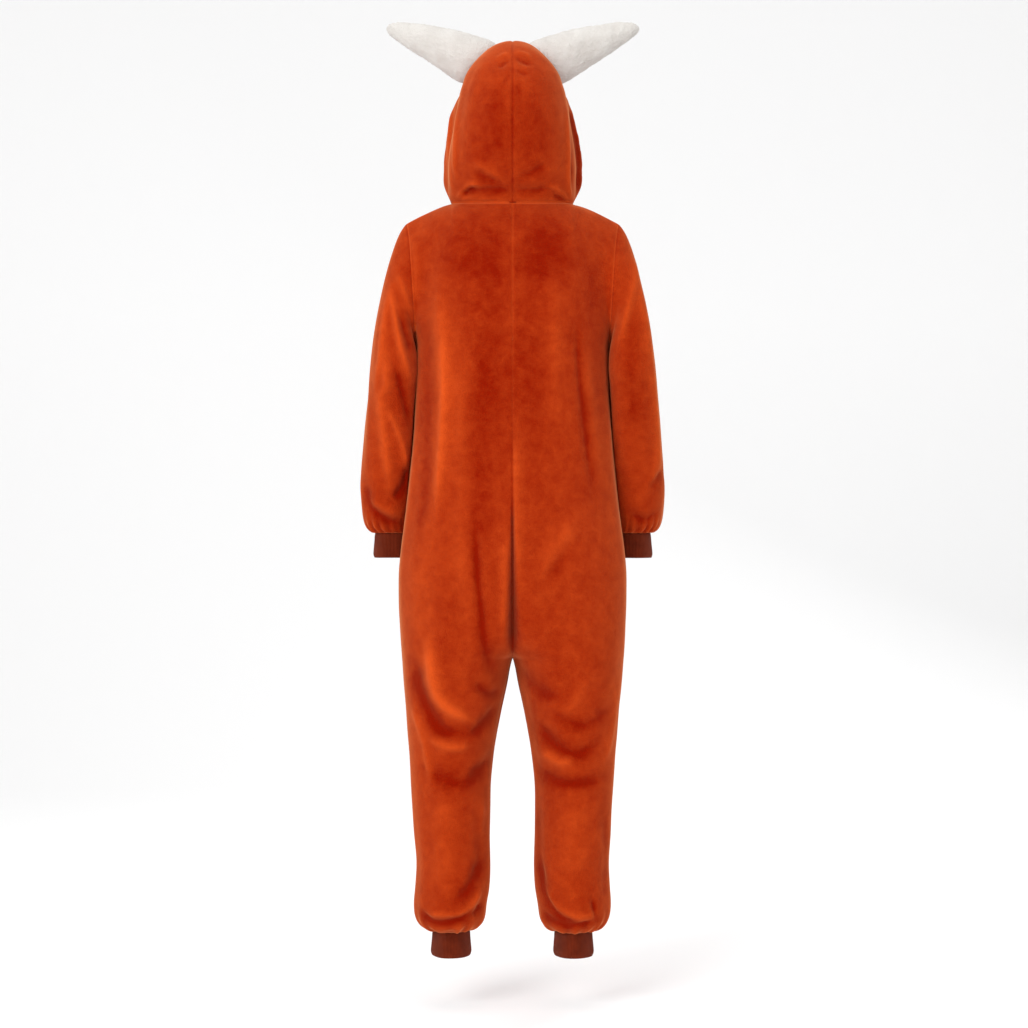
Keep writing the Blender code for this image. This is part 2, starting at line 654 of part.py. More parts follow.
def horn(suit, hand, material):
    """A stuffed horn: a closed cone with a blunt tip, its root cut to the hood it is sewn on."""
    lift_way = (Vector((0, 0, 1)) - HORN_AXIS * HORN_AXIS.z).normalized()
    across_way = HORN_AXIS.cross(lift_way)

    def at(along, radius, lift, turn):
        centre = HORN_ROOT + HORN_AXIS * along + lift_way * lift
        round_off = lift_way * math.cos(turn) + across_way * HORN_FLATNESS * math.sin(turn)
        return centre + round_off * radius

    turns = [2 * math.pi * step / HORN_SIDES for step in range(HORN_SIDES)]
    mesh = bmesh.new()
    rings = [[mesh.verts.new(on_hood(HORN_ROOT, suit.side))] * HORN_SIDES]
    for share in reversed(HORN_SEAT_RINGS):
        ring = [on_hood(at(0.0, HORN_SEAT_RADIUS * share, 0.0, turn), suit.side) for turn in turns]
        rings.append([mesh.verts.new(point) for point in ring])
    for along, radius, lift in HORN:
        ring = [at(along, radius, lift, turn) for turn in turns]
        rings.append([mesh.verts.new((suit.side * p.x, p.y, p.z)) for p in ring])
    tip = at(HORN_TIP[0], 0.0, HORN_TIP[1], 0.0)
    rings.append([mesh.verts.new((suit.side * tip.x, tip.y, tip.z))] * HORN_SIDES)
    for ring, following in zip(rings, rings[1:]):
        for step in range(HORN_SIDES):
            after = (step + 1) % HORN_SIDES
            corners = (ring[step], ring[after], following[after], following[step])
            mesh.faces.new(list(dict.fromkeys(corners)))
    finished(f"horn_{hand}", mesh, material)


def main():
    clear_scene()
    materials = {
        "plush": plain_material("rust_plush", RUST, 0.9),
        "knit": plain_material("brown_knit", BROWN, 0.85),
        "horn": plain_material("cream_plush", CREAM, 0.9),
        "button": plain_material("brown_button", DARK, 0.4),
    }
    halves = {"right": Suit(1), "left": Suit(-1)}
    for hand, suit in halves.items():
        cloth_pieces(suit, hand, materials)
        horn(suit, hand, materials["horn"])
    line, normals = placket(halves["right"], halves["left"], materials["plush"])
    buttons(line, normals, materials["button"])


main()
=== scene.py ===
# %% [markdown]
# # A hooded plush suit, seen from behind
#
# The real object is a roomy one-piece suit of short plush. It is sewn from flat pieces: two backs, two
# fronts, two sleeves, two hood halves, knit cuffs, a button strip, and two stuffed horns. A rigid model
# of it already exists and holds its sizes. This lesson gives it its looks: soft walls of cloth with the
# folds that a worn suit has, and a finish for each material. Lengths are in metres. +X is the wearer's
# right, +Y the wearer's front and +Z is up.

# %% Load the fixed frame
import math

import bmesh
import bpy
import numpy as np
from mathutils import Matrix, Vector
from mathutils.bvhtree import BVHTree


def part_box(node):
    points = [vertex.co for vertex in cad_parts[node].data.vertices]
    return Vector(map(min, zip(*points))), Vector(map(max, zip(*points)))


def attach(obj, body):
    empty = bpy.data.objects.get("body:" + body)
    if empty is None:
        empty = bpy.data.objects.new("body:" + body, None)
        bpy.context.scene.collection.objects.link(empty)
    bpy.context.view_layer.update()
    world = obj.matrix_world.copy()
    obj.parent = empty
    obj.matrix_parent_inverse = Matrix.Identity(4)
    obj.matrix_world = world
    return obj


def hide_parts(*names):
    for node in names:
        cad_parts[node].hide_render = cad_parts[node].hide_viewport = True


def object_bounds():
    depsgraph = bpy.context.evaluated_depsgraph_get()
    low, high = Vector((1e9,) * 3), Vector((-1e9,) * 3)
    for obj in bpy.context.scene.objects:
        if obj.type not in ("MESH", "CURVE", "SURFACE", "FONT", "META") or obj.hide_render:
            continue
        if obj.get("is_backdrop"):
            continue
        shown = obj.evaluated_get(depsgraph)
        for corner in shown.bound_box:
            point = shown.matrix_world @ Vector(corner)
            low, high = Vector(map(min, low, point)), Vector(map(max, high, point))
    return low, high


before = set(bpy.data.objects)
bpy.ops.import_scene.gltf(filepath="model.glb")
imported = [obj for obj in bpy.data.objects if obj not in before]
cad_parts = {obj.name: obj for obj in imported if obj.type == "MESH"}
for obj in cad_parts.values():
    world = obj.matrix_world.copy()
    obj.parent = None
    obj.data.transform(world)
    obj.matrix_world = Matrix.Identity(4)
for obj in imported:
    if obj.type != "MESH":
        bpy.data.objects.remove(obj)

cad_box = [list(corner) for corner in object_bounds()]
scene = bpy.context.scene
print("solids:", len(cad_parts), "box:", [[round(v, 3) for v in corner] for corner in cad_box])

# %% Helpers for objects and node trees
def placed(name, data):
    """A new object in the scene."""
    made = bpy.data.objects.new(name, data)
    scene.collection.objects.link(made)
    return made


def fill(tree, made, inputs):
    """Gives a node's inputs their values, or links them to another node."""
    for key, value in inputs.items():
        if isinstance(value, bpy.types.Node):
            value = value.outputs[0]
        if isinstance(value, bpy.types.NodeSocket):
            tree.links.new(value, made.inputs[key])
        else:
            made.inputs[key].default_value = value


def new_material(name):
    """A material, its node tree and its shader."""
    material = bpy.data.materials.new(name)
    material.use_nodes = True
    return material, material.node_tree, material.node_tree.nodes["Principled BSDF"]


print("helpers for objects and nodes ready")

# %% [markdown]
# The picture is taken from straight behind, from 4.5 m, at the height of the middle of the suit. A long
# lens from that distance keeps hood and ankles in their true proportions. The floor is pale and curves
# up into a wall behind the suit, so no horizon cuts through the picture.

# %% Camera
CAMERA_PLACE = Vector((0.00245, -4.5, -0.5425))
LENS_MM = 90.05
FLOOR_Z = -1.402

lens = bpy.data.cameras.new("camera")
lens.lens = LENS_MM
lens.sensor_width = 36.0
lens.dof.use_dof = False
camera = placed("camera", lens)
camera.location = CAMERA_PLACE
camera.rotation_euler = (math.pi / 2, 0.0, 0.0)
scene.camera = camera
print("camera stands", round(-CAMERA_PLACE.y, 2), "m behind")

# %% Floor that curves up into a wall
FLOOR_START, HALF_WIDTH = -9.0, 9.0
WALL_Y, WALL_TOP, WALL_BEND = 5.0, 5.0, 1.6
BEND_STEPS = 16


def backdrop():
    """A strip of floor, a quarter bend and a wall, all one sheet."""
    profile = [(FLOOR_START, FLOOR_Z), (WALL_Y - WALL_BEND, FLOOR_Z)]
    for step in range(1, BEND_STEPS + 1):
        turn = math.pi / 2 * step / BEND_STEPS
        along, up = WALL_BEND * math.sin(turn), WALL_BEND * (1 - math.cos(turn))
        profile.append((WALL_Y - WALL_BEND + along, FLOOR_Z + up))
    profile.append((WALL_Y, WALL_TOP))
    mesh = bmesh.new()
    left = [mesh.verts.new((-HALF_WIDTH, y, z)) for y, z in profile]
    right = [mesh.verts.new((HALF_WIDTH, y, z)) for y, z in profile]
    for step in range(len(profile) - 1):
        mesh.faces.new((left[step], right[step], right[step + 1], left[step + 1]))
    data = bpy.data.meshes.new("floor")
    mesh.to_mesh(data)
    mesh.free()
    data.shade_smooth()
    return placed("floor", data)


floor = backdrop()
floor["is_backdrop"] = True
paper, tree, shader = new_material("pale_floor")
fill(tree, shader, {"Base Color": (0.96, 0.96, 0.96, 1.0), "Roughness": 0.9})
floor.data.materials.append(paper)
print("floor at", FLOOR_Z)

# %% Soft studio light
LIGHTS = (
    # name, x, y, z, width, height, watts
    ("key", -1.9, -3.4, 1.3, 2.0, 2.0, 94.0),
    ("fill", 2.2, -3.4, 0.6, 2.2, 2.2, 16.0),
    ("top", 0.0, -0.6, 2.6, 2.6, 2.0, 25.0),
    ("front_key", 1.8, 3.4, 1.2, 2.0, 2.0, 40.0),
)
AIM = Vector((0.0, 0.0, -0.55))
for name, x, y, z, width, height, watts in LIGHTS:
    light = bpy.data.lights.new(name, "AREA")
    light.shape = "RECTANGLE"
    light.size, light.size_y = width, height
    light.energy = watts
    lamp = placed(name, light)
    lamp.location = (x, y, z)
    lamp.rotation_euler = (AIM - lamp.location).to_track_quat("-Z", "Y").to_euler()

world = bpy.data.worlds.new("studio")
world.use_nodes = True
background = world.node_tree.nodes["Background"]
fill(world.node_tree, background, {"Color": (1.0, 1.0, 1.0, 1.0), "Strength": 0.75})
scene.world = world
scene.view_settings.view_transform = "Standard"
print("lights:", len(LIGHTS))

# %% [markdown]
# ## Surfaces of the cloth
#
# A panel of worn cloth is a curved sheet. It could be sculpted, but its outline has to agree with the
# rigid model to a few millimetres. So each panel is worked out from sections: one row of sizes for each
# height, as a maker's block pattern has. Rows run round the body and columns run down it.

# %% Sizes of the panels
CLOTH = 0.0028
CUFF_CLOTH = 0.0023
NECK_HALF_WIDTH = 0.107
NECK_BACK = (0.068, -0.006)
NECK_FRONT = (0.080, -0.056)
NECK_BEND = 1.6
SHOULDER_TIP = Vector((0.186, 0.0, -0.034))
SHOULDER_BEND = 1.35
PLACKET_HALF_WIDTH = 0.0175
PLACKET_END = -0.700

# Trunk and leg sections, one half of the suit. inner is below 0 where both legs are still one trunk.
BODY = (
    # z, outer, inner, side_y, back, front, square
    (-0.2500, 0.1680, -0.1680, 0.000, 0.122, 0.114, 2.35),
    (-0.3000, 0.1690, -0.1690, 0.000, 0.124, 0.118, 2.35),
    (-0.3600, 0.1715, -0.1715, 0.000, 0.125, 0.122, 2.35),
    (-0.4250, 0.1750, -0.1750, 0.000, 0.125, 0.125, 2.35),
    (-0.4900, 0.1810, -0.1810, -0.002, 0.126, 0.126, 2.35),
    (-0.5500, 0.1880, -0.1800, -0.004, 0.130, 0.125, 2.30),
    (-0.6050, 0.1945, -0.1665, -0.005, 0.133, 0.122, 2.30),
    (-0.6550, 0.1985, -0.1445, -0.005, 0.134, 0.118, 2.30),
    (-0.7000, 0.1990, -0.1150, -0.004, 0.132, 0.114, 2.25),
    (-0.7380, 0.1975, -0.0815, -0.003, 0.129, 0.112, 2.25),
    (-0.7660, 0.1958, -0.0458, -0.002, 0.1260, 0.1102, 2.23),
    (-0.7850, 0.1943, -0.0143, -0.001, 0.1236, 0.1091, 2.22),
    (-0.7910, 0.1938, -0.0040, -0.001, 0.1228, 0.1087, 2.22),
    (-0.7930, 0.1936, 0.0000, -0.001, 0.1225, 0.1086, 2.22),
    (-0.8060, 0.1926, 0.0040, -0.001, 0.1208, 0.1078, 2.21),
    (-0.8350, 0.1905, 0.0090, 0.000, 0.1165, 0.1056, 2.20),
    (-0.8750, 0.1870, 0.0175, 0.000, 0.1100, 0.1020, 2.18),
    (-0.9200, 0.1840, 0.0255, 0.000, 0.1030, 0.0972, 2.15),
    (-0.9700, 0.1795, 0.0330, 0.000, 0.0962, 0.0920, 2.12),
    (-1.0300, 0.1765, 0.0388, -0.002, 0.090, 0.086, 2.10),
    (-1.0950, 0.1732, 0.0392, -0.005, 0.086, 0.081, 2.10),
    (-1.1550, 0.1680, 0.0378, -0.008, 0.082, 0.077, 2.10),
    (-1.1950, 0.1700, 0.0398, -0.010, 0.082, 0.078, 2.10),
    (-1.2220, 0.1722, 0.0445, -0.010, 0.083, 0.080, 2.10),
    (-1.2405, 0.1708, 0.0462, -0.010, 0.081, 0.079, 2.10),
    (-1.2540, 0.1650, 0.0505, -0.010, 0.073, 0.071, 2.05),
    (-1.2635, 0.1555, 0.0600, -0.010, 0.061, 0.060, 2.00),
    (-1.2680, 0.1395, 0.0735, -0.010, 0.047, 0.047, 2.00),
)
CROTCH_BAND = (-0.700, -0.920)
CROTCH_COLUMN = 4

YOKE = {
    # part of the panel: leave sideways, out, down; arrive sideways, out, up
    "back": (
        (0.000, 0.036, 0.050, 0.000, 0.000, 0.090),
        (0.000, 0.104, 0.012, 0.000, 0.000, 0.080),
        (-0.010, 0.070, 0.045, 0.000, 0.095, 0.045),
    ),
    "front": (
        (0.000, 0.016, 0.050, 0.000, 0.000, 0.060),
        (0.000, 0.092, 0.014, 0.000, 0.000, 0.080),
        (-0.012, 0.066, 0.045, 0.000, 0.088, 0.048),
    ),
}
ARMHOLE_HOLD = 3

SLEEVE = (
    # z, outer, half, middle, deep
    (-0.2900, 0.2500, 0.0450, 0.006, 0.080),
    (-0.3350, 0.2540, 0.0465, 0.014, 0.077),
    (-0.3800, 0.2585, 0.0490, 0.024, 0.074),
    (-0.4250, 0.2628, 0.0505, 0.034, 0.072),
    (-0.4650, 0.2675, 0.0515, 0.044, 0.071),
    (-0.5000, 0.2705, 0.0515, 0.053, 0.070),
    (-0.5280, 0.2690, 0.0485, 0.060, 0.068),
    (-0.5480, 0.2665, 0.0440, 0.065, 0.063),
    (-0.5620, 0.2625, 0.0405, 0.068, 0.057),
    (-0.5720, 0.2560, 0.0370, 0.070, 0.050),
    (-0.5770, 0.2455, 0.0325, 0.070, 0.043),
)
SLEEVE_CLEAR = 0.0015
SLEEVE_SQUARE = 2.5

HOOD = (
    # z, half, back, front, face, puff, drop
    (0.0120, 0.1125, 0.078, 0.094, 0.030, 0.15, 0.040),
    (0.0300, 0.1175, 0.092, 0.111, 0.047, 0.45, 0.028),
    (0.0550, 0.1215, 0.106, 0.126, 0.062, 0.80, 0.014),
    (0.0850, 0.1220, 0.117, 0.135, 0.073, 1.00, 0.004),
    (0.1150, 0.1182, 0.123, 0.138, 0.078, 1.00, 0.000),
    (0.1450, 0.1125, 0.125, 0.139, 0.077, 0.95, 0.000),
    (0.1720, 0.1058, 0.122, 0.138, 0.071, 0.80, 0.000),
    (0.1950, 0.0990, 0.116, 0.135, 0.059, 0.55, 0.000),
    (0.2120, 0.0905, 0.109, 0.131, 0.044, 0.30, 0.000),
    (0.2220, 0.0852, 0.103, 0.128, 0.027, 0.10, 0.000),
    (0.2270, 0.0822, 0.099, 0.126, 0.000, 0.05, 0.000),
    (0.2400, 0.0735, 0.088, 0.120, 0.000, 0.00, 0.000),
    (0.2540, 0.0620, 0.073, 0.109, 0.000, 0.00, 0.000),
    (0.2660, 0.0500, 0.056, 0.095, 0.000, 0.00, 0.000),
    (0.2750, 0.0390, 0.038, 0.079, 0.000, 0.00, 0.000),
    (0.2810, 0.0280, 0.020, 0.061, 0.000, 0.00, 0.000),
    (0.2845, 0.0150, 0.004, 0.045, 0.000, 0.00, 0.000),
    (0.2858, 0.0000, -0.002, 0.038, 0.000, 0.00, 0.000),
)
HOOD_SQUARE = 2.3
PUFF_Y, PUFF_REACH, PUFF_INSET, PUFF_FILL = 0.075, 0.028, 0.012, 1.25
DROP_REACH = 0.09
print("body rows:", len(BODY), "sleeve rows:", len(SLEEVE), "hood rows:", len(HOOD))

# %% Small helpers for rows of points
FINE_STEPS = 260
NEAR_SEAM = (0.0012, 0.0026)


def unit(vectors):
    return vectors / np.maximum(np.linalg.norm(vectors, axis=-1, keepdims=True), 1e-12)


def summed(steps):
    """Adds steps up, from 0 on."""
    return np.concatenate([[0.0], np.cumsum(steps)])


def lengths_along(curve):
    """Distance from the start to each point of a curve."""
    return summed(np.linalg.norm(np.diff(curve, axis=0), axis=1))


def steps_of(grid, axis):
    """How far each point of a grid is from the next one, down it for axis 0 and across it for axis 1."""
    return np.linalg.norm(np.diff(grid, axis=axis), axis=2)


def closed(grid):
    """A ring's grid with its first column once more at the end."""
    return np.concatenate([grid, grid[:, :1]], axis=1)


def squarish(values, square):
    """Bends a circle's sines and cosines into those of a rounder or squarer section."""
    return np.sign(values) * np.abs(values) ** (2 / square)


def spaced(curve, shares):
    """Points at these shares of a finely drawn curve's length."""
    along = lengths_along(curve)
    wanted = np.asarray(shares) * along[-1]
    return np.stack([np.interp(wanted, along, curve[:, axis]) for axis in range(3)], axis=1)


def flow(rows, marks, wanted):
    """Rows of points between the given rows, on smooth curves that never swing past them."""
    gap = np.diff(marks)[:, None, None]
    slope = np.diff(rows, axis=0) / gap
    product = slope[:-1] * slope[1:]
    total = np.where(product > 0, slope[:-1] + slope[1:], 1.0)
    middle = np.where(product > 0, 2 * product / total, 0.0)
    tangent = np.concatenate([slope[:1], middle, slope[-1:]])
    index = np.clip(np.searchsorted(marks, wanted, side="right") - 1, 0, len(marks) - 2)
    step = gap[index]
    t = ((wanted - marks[index]) / (marks[index + 1] - marks[index]))[:, None, None]
    start, end = rows[index], rows[index + 1]
    return (
        start * (2 * t**3 - 3 * t**2 + 1)
        + end * (3 * t**2 - 2 * t**3)
        + tangent[index] * step * (t**3 - 2 * t**2 + t)
        + tangent[index + 1] * step * (t**3 - t**2)
    )


def row_marks(*grids):
    """A mark for each row: the mean way down the grids so far."""
    return summed(sum(steps_of(grid, 0).mean(axis=1) for grid in grids) / len(grids))


def fine_marks(length, count):
    """Even marks, with a few more close to both ends, where the cloth turns in to a seam."""
    even = np.linspace(0.0, length, count + 1)
    return np.unique(np.concatenate([even, NEAR_SEAM, length - np.array(NEAR_SEAM)]))


def bezier(start, leave, arrive, end, share):
    rest = 1.0 - share
    return rest**3 * start + 3 * rest**2 * share * leave + 3 * rest * share**2 * arrive + share**3 * end


def relaxed(grid, rounds, ring=False):
    """Evens out small kinks inside a grid and leaves its edges where they are."""
    for _ in range(rounds):
        if ring:
            sides = (np.roll(grid, 1, axis=1) + np.roll(grid, -1, axis=1))[1:-1]
            grid[1:-1] += 0.5 * ((grid[:-2] + grid[2:] + sides) / 4 - grid[1:-1])
        else:
            around = grid[:-2, 1:-1] + grid[2:, 1:-1] + grid[1:-1, :-2] + grid[1:-1, 2:]
            grid[1:-1, 1:-1] += 0.5 * (around / 4 - grid[1:-1, 1:-1])
    return grid


print("helpers ready")

# %% Columns: closer together beside the seams, where the cloth turns in
PANEL_COLUMNS = 12
NECK_COLUMNS = 6
YOKE_ROWS = 12
PER_COLUMN = 7
BESIDE_SEAM = (0.04, 0.09, 0.19)
EVEN = np.linspace(0.0, PANEL_COLUMNS, PANEL_COLUMNS * PER_COLUMN + 1)
COLUMNS = np.unique(np.concatenate([EVEN, BESIDE_SEAM, [PANEL_COLUMNS - gap for gap in BESIDE_SEAM]]))
NECK_PLACE = int(np.searchsorted(COLUMNS, NECK_COLUMNS))
PLACKET_PLACE = int(np.searchsorted(COLUMNS, 1.0))
YOKE_FINE = 72
BODY_FINE = 268
print("columns in a panel:", len(COLUMNS), "rows:", YOKE_FINE + BODY_FINE + 1)

# %% [markdown]
# ### Back and front panels
#
# Each row below the underarm is half a rounded section of the trunk or of one leg. Above it the panel
# runs from the neck and shoulder seams down to the underarm on curved threads, as cloth hangs over a
# shoulder. The panels share their edge points, so the seams close.

# %% Sections of the trunk and legs
def body_section(row, face):
    z, outer, inner, side_y, back, front, square = row
    centre, half = (outer + inner) / 2, (outer - inner) / 2
    deep = back if face < 0 else front
    first = math.acos(min(1.0, (centre / half) ** (square / 2))) if inner < 0 else 0.0
    turn = np.linspace(first, math.pi, FINE_STEPS)
    x = centre - half * squarish(np.cos(turn), square)
    y = side_y + face * deep * squarish(np.sin(turn), square)
    x[0] = max(inner, 0.0)
    y[-1] = side_y
    if inner >= 0:
        y[0] = side_y
    return np.stack([x, y, np.full_like(x, z)], axis=1)


def column_shares(length, first, even_length=None):
    """Share of a row's length at each whole column. The first strip may have a width of its own."""
    if first:
        marks = np.concatenate([[0.0], np.linspace(first / length, 1.0, PANEL_COLUMNS)])
    else:
        marks = np.linspace(0.0, 1.0, PANEL_COLUMNS + 1)
    if even_length:
        moved = 1.0 - (1.0 - marks) * even_length / length
        fixed = 1 if first else 0
        moved[: fixed + 1] = marks[: fixed + 1]
        count = CROTCH_COLUMN + 1 - fixed
        moved[fixed : fixed + count] = np.linspace(moved[fixed], moved[CROTCH_COLUMN], count)
        marks = moved
    return np.interp(COLUMNS, np.arange(PANEL_COLUMNS + 1), marks)


def neck_and_shoulder(face, first):
    """The top edge: the neck curve out to the high shoulder point, then the shoulder seam."""
    deep, low = NECK_BACK if face < 0 else NECK_FRONT
    turn = np.linspace(0.0, math.pi / 2, FINE_STEPS)
    across, along = np.sin(turn), np.cos(turn)
    neck = np.stack([NECK_HALF_WIDTH * across, face * deep * along, low * along**NECK_BEND], axis=1)
    neck[-1] = (NECK_HALF_WIDTH, 0.0, 0.0)
    length = lengths_along(neck)[-1]
    start = first / length if first else 1 / NECK_COLUMNS
    marks = np.concatenate([[0.0], np.linspace(start, 1.0, NECK_COLUMNS)])
    inner = spaced(neck, np.interp(COLUMNS[: NECK_PLACE + 1], np.arange(NECK_COLUMNS + 1), marks))
    share = (COLUMNS[NECK_PLACE + 1 :] - NECK_COLUMNS) / (PANEL_COLUMNS - NECK_COLUMNS)
    width = NECK_HALF_WIDTH + (SHOULDER_TIP.x - NECK_HALF_WIDTH) * share
    shoulder = np.stack([width, 0 * share, SHOULDER_TIP.z * share**SHOULDER_BEND], axis=1)
    return np.concatenate([inner, shoulder])


print("section at the waist is", round(2 * BODY[5][1], 3), "m wide")

# %% Rows of a panel
def panel_rows(face):
    """The rows that the tables give: the yoke's, then one for each section."""
    first = PLACKET_HALF_WIDTH if face > 0 else 0.0
    curves = {row[0]: body_section(row, face) for row in BODY}
    band = [lengths_along(curves[z])[-1] for z in CROTCH_BAND]
    sections = []
    for z, curve in curves.items():
        length, even = lengths_along(curve)[-1], None
        if CROTCH_BAND[1] < z < CROTCH_BAND[0]:
            even = np.interp(-z, np.negative(CROTCH_BAND), band)
        sections.append(spaced(curve, column_shares(length, first, even)))
    top, underarm = neck_and_shoulder(face, first), sections[0]
    centre, high_point, armhole = np.array(YOKE["back" if face < 0 else "front"])
    by_neck = (np.minimum(1.0, COLUMNS / NECK_COLUMNS) ** 2)[:, None]
    past = (np.maximum(0.0, COLUMNS - NECK_COLUMNS) / (PANEL_COLUMNS - NECK_COLUMNS))[:, None]
    pull = centre + by_neck * (high_point - centre) + past * (armhole - high_point)
    side, out, down, side_end, _, up = pull.T
    out_end = armhole[4] * past[:, 0] ** ARMHOLE_HOLD
    leave = top + np.stack([side, face * out, -down], axis=1)
    arrive = underarm + np.stack([side_end, face * out_end, up], axis=1)
    yoke = [bezier(top, leave, arrive, underarm, row / YOKE_ROWS) for row in range(YOKE_ROWS)]
    return np.array(yoke + sections)


back_rows, front_rows = panel_rows(-1), panel_rows(1)
BODY_MARKS = row_marks(back_rows, front_rows)
UNDERARM_MARK = BODY_MARKS[YOKE_ROWS]
BODY_LENGTH = BODY_MARKS[-1] - UNDERARM_MARK
ROWS = np.union1d(fine_marks(UNDERARM_MARK, YOKE_FINE), UNDERARM_MARK + fine_marks(BODY_LENGTH, BODY_FINE))
YOKE_PLACE = int(np.argmin(abs(ROWS - UNDERARM_MARK)))
BODY_RELAX = 14
back_right = relaxed(flow(back_rows, BODY_MARKS, ROWS), BODY_RELAX)
front_right = relaxed(flow(front_rows, BODY_MARKS, ROWS), BODY_RELAX)
print("panel is", round(BODY_MARKS[-1], 3), "m long, underarm at", round(UNDERARM_MARK, 3))

# %% [markdown]
# ### Sleeves
#
# A sleeve is a ring of columns that starts on the armhole edge, which the back and the front share, and
# ends at the cuff. The arm hangs a little forward, so the rings drift forward as they go down.

# %% Sleeve surface
SLEEVE_CAP_ROWS = 6
SLEEVE_FINE = 140
# Where the cap's threads point as they leave the armhole, and come to the first ring: side, top, under.
CAP_LEAVE = np.array([(0.020, 0.0, -0.004), (0.021, 0.0, -0.009), (0.004, 0.0, -0.012)])
CAP_ARRIVE = np.array([(0.0, 0.0, 0.085), (-0.008, 0.0, 0.085), (0.0, 0.0, 0.012)])


def trunk_side(y, z):
    """How far out the trunk's side lies, so that a sleeve stays beside it."""
    rows = np.array(BODY)[::-1]
    outer, side_y, back, front, square = (np.interp(z, rows[:, 0], rows[:, n]) for n in (1, 3, 4, 5, 6))
    deep = np.where(y < side_y, back, front)
    share = np.clip(np.abs(y - side_y) / deep, 0.0, 1.0)
    return outer * (1.0 - share**square) ** (1.0 / square)


def sleeve_surface(back, front):
    edge_rows = np.interp(ROWS[: YOKE_PLACE + 1], BODY_MARKS, np.arange(len(BODY_MARKS)))
    edge_turn = math.pi * edge_rows / YOKE_ROWS
    turns = np.concatenate([edge_turn, (2 * math.pi - edge_turn[1:-1])[::-1]])
    rings = []
    for z, outer, half, middle, deep in SLEEVE:
        x = outer - half + half * squarish(np.cos(turns), SLEEVE_SQUARE)
        y = middle - deep * squarish(np.sin(turns), SLEEVE_SQUARE)
        x = np.maximum(x, trunk_side(y, np.full_like(y, z)) + SLEEVE_CLEAR)
        rings.append(np.stack([x, y, np.full_like(x, z)], axis=1))
    edge = np.concatenate([back[: YOKE_PLACE + 1, -1], front[1:YOKE_PLACE, -1][::-1]])
    upper = np.maximum(np.cos(turns), 0.0)[:, None]
    lower = np.maximum(-np.cos(turns), 0.0)[:, None]
    side = np.abs(np.sin(turns))[:, None]
    leave = edge + side * CAP_LEAVE[0] + upper * CAP_LEAVE[1] + lower * CAP_LEAVE[2]
    arrive = rings[0] + side * CAP_ARRIVE[0] + lower * CAP_ARRIVE[2] + upper**2 * CAP_ARRIVE[1]
    cap = [bezier(edge, leave, arrive, rings[0], row / SLEEVE_CAP_ROWS) for row in range(SLEEVE_CAP_ROWS)]
    rows = np.array(cap + rings)
    marks = row_marks(rows)
    return relaxed(flow(rows, marks, fine_marks(marks[-1], SLEEVE_FINE)), 10, ring=True)


sleeve_right = sleeve_surface(back_right, front_right)
print("sleeve grid:", sleeve_right.shape[:2])

# %% [markdown]
# ### Hood and cuffs
#
# Each hood half runs from the centre-back seam round to the edge of the face opening. Its rows start on
# the neck seam. A soft roll of cloth stands out beside the face. The cuffs are short knit tubes that
# hang from the last rings of sleeve and leg.

# %% Hood surface
HOOD_FINE = 112


def hood_reach(y, half, back, front, puff):
    """How far out the hood's side lies at y: the head's round, and the roll beside the face."""
    middle, deep = (front - back) / 2, (front + back) / 2
    head = half - PUFF_INSET * puff

    def round_part(y):
        share = np.clip(np.abs(y - middle) / deep, 0.0, 1.0)
        return head * (1.0 - share**HOOD_SQUARE) ** (1.0 / HOOD_SQUARE)

    roll = (half - round_part(PUFF_Y)) * min(1.0, PUFF_FILL * puff)
    x = round_part(y)
    return x + roll * np.exp(-(((y - PUFF_Y) / PUFF_REACH) ** 2)) * (x > 0)


def hood_section(row, shares):
    z, half, back, front, face, puff, drop = row
    middle, deep = (front - back) / 2, (front + back) / 2
    turn = np.linspace(0.0, math.pi, FINE_STEPS)
    y = middle - deep * squarish(np.cos(turn), HOOD_SQUARE)
    x = hood_reach(y, half, back, front, puff)
    x[0] = 0.0
    keep = (y < middle) | (x >= face)
    lower = np.clip(y / DROP_REACH, 0.0, 1.0) ** 2
    curve = np.stack([x, y, z - drop * lower], axis=1)[keep]
    if face == 0.0:
        curve[-1, 0] = 0.0
    return spaced(curve, shares)


def hood_surface(back, front):
    neck = np.concatenate([back[0, : NECK_PLACE + 1], front[0, :NECK_PLACE][::-1]])
    beside = COLUMNS[: NECK_PLACE + 1] / (2 * NECK_COLUMNS)
    shares = np.concatenate([beside, 1.0 - beside[:-1][::-1]])
    rows = np.array([neck] + [hood_section(row, shares) for row in HOOD])
    marks = row_marks(rows)
    return relaxed(flow(rows, marks, fine_marks(marks[-1], HOOD_FINE)), 6)


hood_right = hood_surface(back_right, front_right)
print("hood grid:", hood_right.shape[:2])

# %% Cuff surfaces
CUFF_DROP = 0.043
CUFF_FLARE, CUFF_RIM = 0.0024, 0.0012
# The rim starts to turn in at this share of the cuff, and the rest is its roll.
RIM_START, RIM_SHARE = 0.84, 0.16
CUFF_ROWS = 18


def cuff_surface(ring):
    """A tube that gets a little wider downwards and turns in at its folded rim."""
    centre = ring.mean(axis=0)
    half = abs(ring[:, 0] - centre[0]).max()
    rows = []
    for share in np.linspace(0.0, 1.0, CUFF_ROWS + 1):
        turned_in = CUFF_RIM * max(0.0, share - RIM_START) / RIM_SHARE
        flare = CUFF_FLARE * math.sin(math.pi / 2 * share) ** 2 - turned_in
        rows.append(centre + (ring - centre) * (1 + flare / half) - np.array([0.0, 0.0, CUFF_DROP * share]))
    return np.array(rows)


leg_ring = np.concatenate([back_right[-1], front_right[-1, 1:-1][::-1]])
wrist_right = cuff_surface(sleeve_right[-1])
ankle_right = cuff_surface(leg_ring)
print("ankle cuff is", round(float(np.ptp(leg_ring[:, 0])), 3), "m wide")

